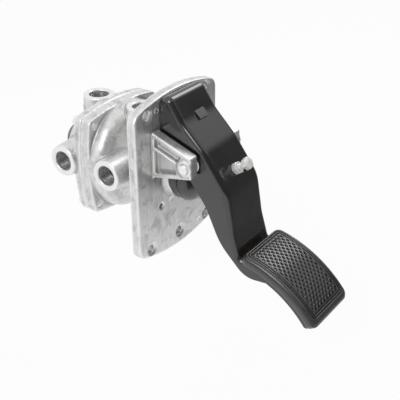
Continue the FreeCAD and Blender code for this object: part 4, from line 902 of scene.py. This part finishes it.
class FOOTVALVE_OT_pad(bpy.types.Operator):
    """Rubber pad with rolled rim, two grooves and lozenge tread"""
    bl_idname = "foot_valve.pad"
    bl_label = "Rubber pad"

    AXIS_Y, AXIS_Z = -91.4, -171.0
    START, END = 7.1, 53.9
    TREAD_START, TREAD_END = 10.4, 48.4
    ACROSS, ALONG = 9, 11
    CORNER_STEPS, SIDE_STEPS = 8, 30

    def bend(self, radius, x, s, h):
        """The point at x, s millimetres along the tread face and h above it, in metres."""
        angle = s / radius
        return Vector((x, self.AXIS_Y - (radius + h) * math.sin(angle),
                       self.AXIS_Z + (radius + h) * math.cos(angle))) * MM

    def ring(self, half, start, end, corner):
        """Points of a rounded rectangle from the middle of its start end round to there again."""
        steps = self.CORNER_STEPS
        side = [(half - corner) * step / steps for step in range(steps)]
        turns = [(math.sin(turn), math.cos(turn))
                 for turn in (math.pi / 2 * step / steps for step in range(steps))]
        long = end - start - corner * 2
        quarter = [(x, start) for x in side]
        quarter += [(half - corner + corner * sine, start + corner - corner * cosine)
                    for sine, cosine in turns]
        quarter += [(half, start + corner + long * step / self.SIDE_STEPS)
                    for step in range(self.SIDE_STEPS)]
        quarter += [(half - corner + corner * cosine, end - corner + corner * sine)
                    for sine, cosine in turns]
        quarter += [(half - corner - x, end) for x in side]
        quarter.append((0.0, end))
        return quarter + [(-x, s) for x, s in quarter[-2:0:-1]]

    def levels(self, half, start, end, first, last, thick, groove):
        """Outlines from the underside over the rim and down into the tread, with their heights."""
        rim = (
            (5.2, 5.0, 1.2, 4.0, -thick), (0.6, 0.5, 0.9, 6.5, -thick), (0.0, 0.0, 0.1, 7.0, 0.7 - thick),
            (0.0, 0.0, 0.0, 7.0, -4.4), (0.25, 0.2, 0.5, 6.9, -2.6), (1.1, 0.9, 2.0, 6.6, -1.15),
            (2.2, 1.7, 4.3, 6.0, -0.4), (3.4, 2.5, 6.8, 5.2, -0.08),
        )
        tread = (
            (4.2, 4.0, 4.4, -0.02), (4.5, 3.7, 4.1, -0.35), (4.6, 3.6, 3.9, -groove),
            (5.6, 2.6, 3.3, -groove), (5.7, 2.5, 3.1, -0.3), (5.9, 2.3, 2.8, -0.08),
            (6.7, 1.5, 2.0, -0.08), (6.9, 1.3, 1.7, -0.3), (7.0, 1.2, 1.5, -groove),
            (8.0, 0.2, 1.0, -groove), (8.1, 0.1, 0.9, -0.3), (8.3, -0.1, 0.8, -0.12),
            (10.3, -2.0, 0.6, -0.12), (10.5, -2.2, 0.5, -2.4),
        )
        return [(half - inset, start + near, end - far, corner, height)
                for inset, near, far, corner, height in rim] + [
                    (half - inset, first - more, last + more, corner, height)
                    for inset, more, corner, height in tread]

    def execute(self, context):
        sizes = context.scene.valve_sizes
        radius, half, thick, groove = (size / MM for size in (
            sizes.pad_radius, sizes.pad_half_width, sizes.pad_thickness, sizes.groove_depth))
        start, end, first, last = (math.radians(angle) * radius for angle in (
            self.START, self.END, self.TREAD_START, self.TREAD_END))
        bm = bmesh.new()
        rings = [[bm.verts.new(self.bend(radius, x, s, level[4])) for x, s in self.ring(*level[:4])]
                 for level in self.levels(half, start, end, first, last, thick, groove)]
        for low, high in zip(rings, rings[1:]):
            bridge(bm, low, high)
        for ring in (rings[0], rings[-1]):
            for step in range(len(ring) // 2):
                corners = []
                for index in (step, step + 1, -step - 1, -step):
                    vert = ring[index % len(ring)]
                    if vert not in corners:
                        corners.append(vert)
                if len(corners) > 2:
                    bm.faces.new(corners)
        bm.verts.index_update()
        # Groove floors and the underside below the tread are marked for painted shade.
        deep = [vert.index for vert in bm.verts if self.is_deep(vert.co, radius, groove)]
        outward(bm)
        mesh = mesh_from(bm, "pad_body", math.radians(60))
        mark_pits(mesh, deep)
        self.add_lip(radius, half, thick, end)
        place("pad_body", mesh, "pedal", "rubber", ["pedal_pad"])
        tread = through_tree(self.lozenge(sizes), lozenge_tread(), {
            "Across": self.ACROSS, "Along": self.ALONG, "Width": sizes.lozenge_width,
            "Length": sizes.lozenge_length, "Middle": (first + last) / 2 * MM,
            "Radius": sizes.pad_radius, "Axis Y": self.AXIS_Y * MM, "Axis Z": self.AXIS_Z * MM,
            "Material": finish("rubber")})
        place("pad_tread", smoothed(tread, math.radians(55)), "pedal", "rubber")
        return {"FINISHED"}

    def is_deep(self, point, radius, groove):
        """Whether a point lies on a groove's floor or under the tread."""
        reach = math.hypot(point.y / MM - self.AXIS_Y, point.z / MM - self.AXIS_Z)
        return -3.0 < reach - radius < -groove + 0.05

    def add_lip(self, radius, half, thick, end):
        """The lip that wraps the pan's toe and runs out along both sides."""
        reach, wall, round_off, wide = 9.0, 1.9, 5.0, half - 4.4
        outer = [point for point in self.ring(wide, 0.0, end, round_off) if point[1] > end - reach]
        outer.sort(key=lambda point: (point[0] < 0, point[1] if point[0] >= 0 else -point[1], -point[0]))
        bm = bmesh.new()
        sections = []
        for x, s in outer:
            rise = min(1.0, (s - (end - reach)) / (reach * 0.5))
            deep = 3.0 + 3.8 * rise * rise * (3 - 2 * rise)
            corner = Vector((max(round_off - wide, min(wide - round_off, x)), min(s, end - round_off)))
            inward = (corner - Vector((x, s))).normalized() * wall
            sections.append([
                bm.verts.new(self.bend(radius, x + inward.x * share, s + inward.y * share, -thick + height))
                for share, height in ((0, 1.5), (0, 0.6 - deep), (0.25, -deep), (0.8, -deep),
                                      (1, 0.6 - deep), (1, 1.5))])
        for row, after in zip(sections, sections[1:]):
            bridge(bm, row, after)
        bm.faces.new(sections[0])
        bm.faces.new(sections[-1])
        outward(bm)
        place("pad_lip", mesh_from(bm, "pad_lip"), "pedal", "rubber")

    def lozenge(self, sizes):
        """One lozenge with a pit, its skirt reaching below the grooves' floor."""
        a, b = sizes.lozenge_width / 2, sizes.lozenge_length / 2
        rhomb = ((1, 0), (0.5, 0.5), (0, 1), (-0.5, 0.5), (-1, 0), (-0.5, -0.5), (0, -1), (0.5, -0.5))
        bm = bmesh.new()
        levels = []
        for share, depth, round_share in ((1.0, -1.1, 0.0), (1.0, -0.01, 0.0), (0.72, 0.0, 0.1),
                                          (0.66, -0.05, 0.15), (0.56, -0.75, 0.2), (0.36, -1.0, 0.3)):
            swells = (1.0 - round_share * 0.10, 1.0 + round_share * 0.28)
            levels.append([
                bm.verts.new((u * a * share * swells[index % 2], v * b * share * swells[index % 2],
                              depth * sizes.lozenge_depth)) for index, (u, v) in enumerate(rhomb)])
        for low, high in zip(levels, levels[1:]):
            bridge(bm, low, high)
        bm.faces.new(levels[-1])
        mesh = bpy.data.meshes.new("lozenge")
        bm.to_mesh(mesh)
        bm.free()
        # The skirt's foot and the pit are marked for painted shade.
        skirt_foot, pit = range(8), range(32, 48)
        mark_pits(mesh, [*pit, *skirt_foot])
        return mesh


class FOOTVALVE_OT_boot(bpy.types.Operator):
    """Rubber bellows between the plate and the plunger"""
    bl_idname = "foot_valve.boot"
    bl_label = "Boot"

    FOOT, TIP, NECK_RADIUS, FOOT_RADIUS = 16.25, 43.9, 7.6, 21.0

    def execute(self, context):
        wall = context.scene.valve_sizes.boot_wall / MM
        outside = [
            (24.4, self.FOOT), (24.5, 17.6), (25.9, 18.6), (27.1, 19.7), (27.3, 20.6), (26.9, 21.6),
            (25.6, 22.8), (24.7, 23.9), (24.5, 24.9), (24.9, 25.9), (26.2, 27.1), (27.2, 28.3),
            (27.35, 29.4), (27.0, 31.0), (26.2, 33.4), (25.2, 35.2), (22.0, 37.4), (17.0, 39.0),
            (12.6, 40.1), (10.4, 41.2), (9.4, 42.3), (9.2, 43.3), (9.0, self.TIP),
        ]
        inside = [(max(radius - wall, self.NECK_RADIUS), height - wall * 0.25) for radius, height in outside]
        inside[0], inside[-1] = (self.FOOT_RADIUS, self.FOOT), (self.NECK_RADIUS, self.TIP)
        mesh = turned("boot_bellows", outside + inside[::-1], towards((0, 0, 0), (0, -1, 0)), 72,
                      math.radians(70))
        piece = place("boot_bellows", mesh, "valve", "rubber", ["plunger_boot"])
        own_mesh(piece)
        return {"FINISHED"}


class FOOTVALVE_OT_adjusting_screw(bpy.types.Operator):
    """Adjusting screw with its thread, hexagon head and lock nut"""
    bl_idname = "foot_valve.adjusting_screw"
    bl_label = "Adjusting screw"

    TIP, DIRECTION = (0, -52.3, 0), (0, -0.7986, 0.6018)
    NUT_FROM_TIP, HEAD_FROM_TIP, THREAD_FROM_TIP = 31.5, 45.0, 2.5
    THREAD_TURNS, THREAD_SEGMENTS, THREAD_DEPTH = 42, 24, 0.33

    def execute(self, context):
        sizes = context.scene.valve_sizes
        radius, across = sizes.screw_radius / MM, sizes.screw_across / MM
        matrix = towards(self.TIP, self.DIRECTION)
        core, top = radius - 0.35, self.HEAD_FROM_TIP + 0.5
        bm = bmesh.new()
        spun(bm, [(0, -radius), (radius * 0.5, -radius * 0.866), (radius * 0.866, -radius * 0.5),
                  (core, 0.2), (core, top), (0, top)], matrix, 32)
        hexagon_head(bm, self.along(matrix, self.HEAD_FROM_TIP, 12), across, sizes.screw_head / MM)
        outward(bm)
        threads = through_tree(None, ring_stack(), {
            "Radius": sizes.screw_radius - self.THREAD_DEPTH * MM, "Depth": self.THREAD_DEPTH * MM,
            "Pitch": sizes.screw_thread, "Turns": self.THREAD_TURNS, "Segments": self.THREAD_SEGMENTS,
            "Material": finish("zinc")})
        threads.transform(self.along(matrix, self.THREAD_FROM_TIP, 0))
        bm.from_mesh(threads)
        place("screw_and_head", mesh_from(bm, "screw_and_head"), "pedal", "zinc",
              ["adjusting_screw"])
        bm = bmesh.new()
        hexagon_head(bm, self.along(matrix, self.NUT_FROM_TIP, -9), across, sizes.nut_height / MM,
                     hole=radius + 0.05, double=True)
        outward(bm)
        place("lock_nut_chamfered", mesh_from(bm, "lock_nut_chamfered"), "pedal", "zinc",
              ["lock_nut"])
        return {"FINISHED"}

    def along(self, matrix, reach, degrees):
        """The screw's matrix, moved along it by millimetres and turned round it."""
        moved = matrix @ Matrix.Translation((0, 0, reach * MM))
        return moved @ Matrix.Rotation(math.radians(degrees), 4, "Z")


class FOOTVALVE_OT_screws(bpy.types.Operator):
    """Cap screws of the flange and of the mounting plate"""
    bl_idname = "foot_valve.screws"
    bl_label = "Screws"

    def execute(self, context):
        tree = pieces_on_points()
        across = 43.8
        flange = [(x, 79.0, z) for x in (-across, across) for z in (-across, across)]
        plate = [(-29.0, 9.0, -30.0), (29.0, 9.0, -30.0), (0.0, 9.0, 41.7)]
        for node, places, head, shank in (("flange_screws", flange, 5.0, 20.2),
                                          ("plate_screws", plate, 4.5, 15.5)):
            self.add(tree, node, places, head, shank)
        return {"FINISHED"}

    def add(self, tree, node, places, head, shank):
        """Copies of one screw whose head stands on these places and whose shank points to the plate."""
        screw = bpy.data.objects.new("screw_pattern", turned("screw_pattern", [
            (0, head - 2.6), (2.3, head - 2.4), (2.5, head - 0.2), (2.8, head - 0.02), (4.4, head),
            (4.85, head - 0.25), (5.0, head - 0.8), (5.0, 0.3), (4.8, 0.02), (3.0, 0.0),
            (3.0, 0.8 - shank), (2.3, -shank), (0, -shank),
        ], towards((0, 0, 0), (0, 1, 0)), 28))
        points = bpy.data.meshes.new("points")
        points.from_pydata([Vector(spot) * MM for spot in places], [], [])
        mesh = through_tree(points, tree, {"Piece": screw, "Material": finish("zinc")})
        bpy.data.objects.remove(screw)
        place(node + "_turned", mesh, "valve", "zinc", [node])


class FOOTVALVE_OT_silencer(bpy.types.Operator):
    """Exhaust silencer with ribs round its rim"""
    bl_idname = "foot_valve.silencer"
    bl_label = "Silencer"

    RIBS, RIB_RADIUS, RIB_MIDDLE, RIB_SIZE, RIB_EDGE = 20, 14.7, 122.3, (1.4, 1.1, 8.2), 0.25

    def execute(self, context):
        turn = towards((0, 0, 0), (0, 1, 0))
        cup = turned("silencer_cup", [
            (13.9, 113.6), (13.9, 115.1), (15.0, 115.1), (15.3, 115.4), (15.3, 117.6), (14.6, 118.0),
            (14.6, 126.2), (14.4, 127.6), (13.6, 128.6), (12.4, 129.0), (9.0, 129.0), (8.6, 128.5),
            (6.4, 128.5), (6.0, 129.0), (4.4, 129.0), (4.0, 128.6), (4.0, 127.1), (12.8, 127.1),
            (13.2, 126.6), (13.2, 116.0), (12.6, 114.0),
        ], turn, 64)
        rib = bmesh.new()
        bmesh.ops.create_cube(rib, size=1.0, matrix=Matrix.Translation((0, 0, self.RIB_MIDDLE * MM))
                              @ Matrix.Diagonal([*(size * MM for size in self.RIB_SIZE), 1.0]))
        bmesh.ops.bevel(rib, geom=list(rib.edges), offset=self.RIB_EDGE * MM, segments=1, affect="EDGES")
        ribs = through_tree(mesh_from(rib, "rib"), pieces_in_a_ring(), {
            "Count": self.RIBS, "Radius": self.RIB_RADIUS * MM, "Material": finish("plastic")})
        ribs.transform(turn)
        place("silencer_cup", cup, "valve", "plastic", ["exhaust_silencer"])
        place("silencer_ribs", ribs, "valve", "plastic")
        return {"FINISHED"}


class FOOTVALVE_OT_pivot(bpy.types.Operator):
    """Pivot pin and thrust washers with eased edges"""
    bl_idname = "foot_valve.pivot"
    bl_label = "Pivot"

    def execute(self, context):
        washers_body = frame["nodes"]["thrust_washers"]["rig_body"]
        for node, width, body in (("pivot_pin", 0.4, "valve"), ("thrust_washers", 0.12, washers_body)):
            mesh = eased(node, width * MM, BEVELLED_FROM)
            place(node + "_eased", mesh, body, "zinc", [node])
        return {"FINISHED"}


class FOOTVALVE_OT_springs(bpy.types.Operator):
    """Springs in place of the CAD model's springs"""
    bl_idname = "foot_valve.springs"
    bl_label = "Springs"

    PLUNGER_TRAVEL, PISTON_TRAVEL, VALVE_TRAVEL = 9.53, 3.0, 1.8
    RELAY_TRAVEL, LOWER_VALVE_TRAVEL = 2.4, 1.4

    def execute(self, context):
        tree = wound_wire()
        for node, joint, travel, turns in (
                ("piston_spring", "primary_piston_slide", self.PISTON_TRAVEL, 3.6),
                ("primary_valve_spring", "primary_valve_slide", self.VALVE_TRAVEL, 3.1),
                ("relay_spring", "relay_piston_slide", self.RELAY_TRAVEL, 3.6),
                ("secondary_valve_spring", "secondary_valve_slide", self.LOWER_VALVE_TRAVEL, 3.1)):
            inner, outer, low, high = self.sleeve(node)
            wire = (outer - inner) / 2
            mesh = through_tree(None, tree, {
                "Radius": (inner + outer) / 2, "Wire": wire * 0.98, "Height": high - low - wire * 2,
                "Turns": turns, "Material": finish("zinc")})
            mesh.transform(towards((0, (low + wire) / MM, 0), (0, 1, 0)))
            mesh.shade_smooth()
            self.press(node, mesh, "valve", "zinc_steel", "zinc", joint, high,
                       1 - travel * MM / (high - low))
        low, high = self.sleeve("graduating_spring")[2:]
        mesh = mesh_from(merged_copy("graduating_spring"), "graduating_spring_copy")
        pressed = (self.PLUNGER_TRAVEL - self.PISTON_TRAVEL) * MM
        self.press("graduating_spring", mesh, "primary_piston", "black_rubber", "rubber",
                   "plunger_slide", high, 1 - pressed / (high - low))
        return {"FINISHED"}

    def sleeve(self, node):
        """Inner and outer radius of a sleeve along Y, and its ends."""
        points = [vert.co for vert in frame["nodes"][node].data.vertices]
        radii = [math.hypot(point.x, point.z) for point in points]
        along = [point.y for point in points]
        return min(radii), max(radii), min(along), max(along)

    def press(self, node, mesh, body, slot, finish_name, joint, anchor, keep):
        """Places a spring on its body in place of its CAD node."""
        piece = place(node + "_wound", mesh, body, finish_name, [node])
        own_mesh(piece)


class FOOTVALVE_OT_inner_finishes(bpy.types.Operator):
    """Finishes of the CAD pieces whose shape stays as it is"""
    bl_idname = "foot_valve.inner_finishes"
    bl_label = "Inner pieces"

    def execute(self, context):
        for name, node in frame["nodes"].items():
            node.data.materials.clear()
            node.data.materials.append(finish(FINISH_OF_NODE.get(name, "zinc")))
        return {"FINISHED"}


class FOOTVALVE_PT_panel(bpy.types.Panel):
    """Buttons and values of the foot brake valve"""
    bl_idname = "FOOTVALVE_PT_panel"
    bl_label = "Foot brake valve"
    bl_space_type = "VIEW_3D"
    bl_region_type = "UI"
    bl_category = "Foot valve"

    def draw(self, context):
        for operator in OPERATORS:
            self.layout.operator(operator.bl_idname)
        for group in (context.scene.valve_sizes, context.scene.valve_colours):
            box = self.layout.box()
            for name in group.bl_rna.properties.keys():
                if name not in ("name", "rna_type"):
                    box.prop(group, name)


OPERATORS = (
    FOOTVALVE_OT_stage,
    FOOTVALVE_OT_inner_finishes,
    FOOTVALVE_OT_castings,
    FOOTVALVE_OT_ports,
    FOOTVALVE_OT_plate_marks,
    FOOTVALVE_OT_pedal_arm,
    FOOTVALVE_OT_pad,
    FOOTVALVE_OT_boot,
    FOOTVALVE_OT_adjusting_screw,
    FOOTVALVE_OT_screws,
    FOOTVALVE_OT_silencer,
    FOOTVALVE_OT_pivot,
    FOOTVALVE_OT_springs,
)
CLASSES = (ValveSizes, ValveColours, *OPERATORS, FOOTVALVE_PT_panel)


def register():
    for item in CLASSES:
        bpy.utils.register_class(item)
    bpy.types.Scene.valve_sizes = bpy.props.PointerProperty(type=ValveSizes)
    bpy.types.Scene.valve_colours = bpy.props.PointerProperty(type=ValveColours)


def unregister():
    del bpy.types.Scene.valve_colours
    del bpy.types.Scene.valve_sizes
    for item in reversed(CLASSES):
        bpy.utils.unregister_class(item)


def main():
    register()
    bpy.ops.foot_valve.stage()
    bpy.ops.foot_valve.inner_finishes()
    bpy.ops.foot_valve.castings()
    bpy.ops.foot_valve.ports()
    bpy.ops.foot_valve.plate_marks()
    bpy.ops.foot_valve.pedal_arm()
    bpy.ops.foot_valve.pad()
    bpy.ops.foot_valve.boot()
    bpy.ops.foot_valve.adjusting_screw()
    bpy.ops.foot_valve.screws()
    bpy.ops.foot_valve.silencer()
    bpy.ops.foot_valve.pivot()
    bpy.ops.foot_valve.springs()


if __name__ == "__main__":
    main()
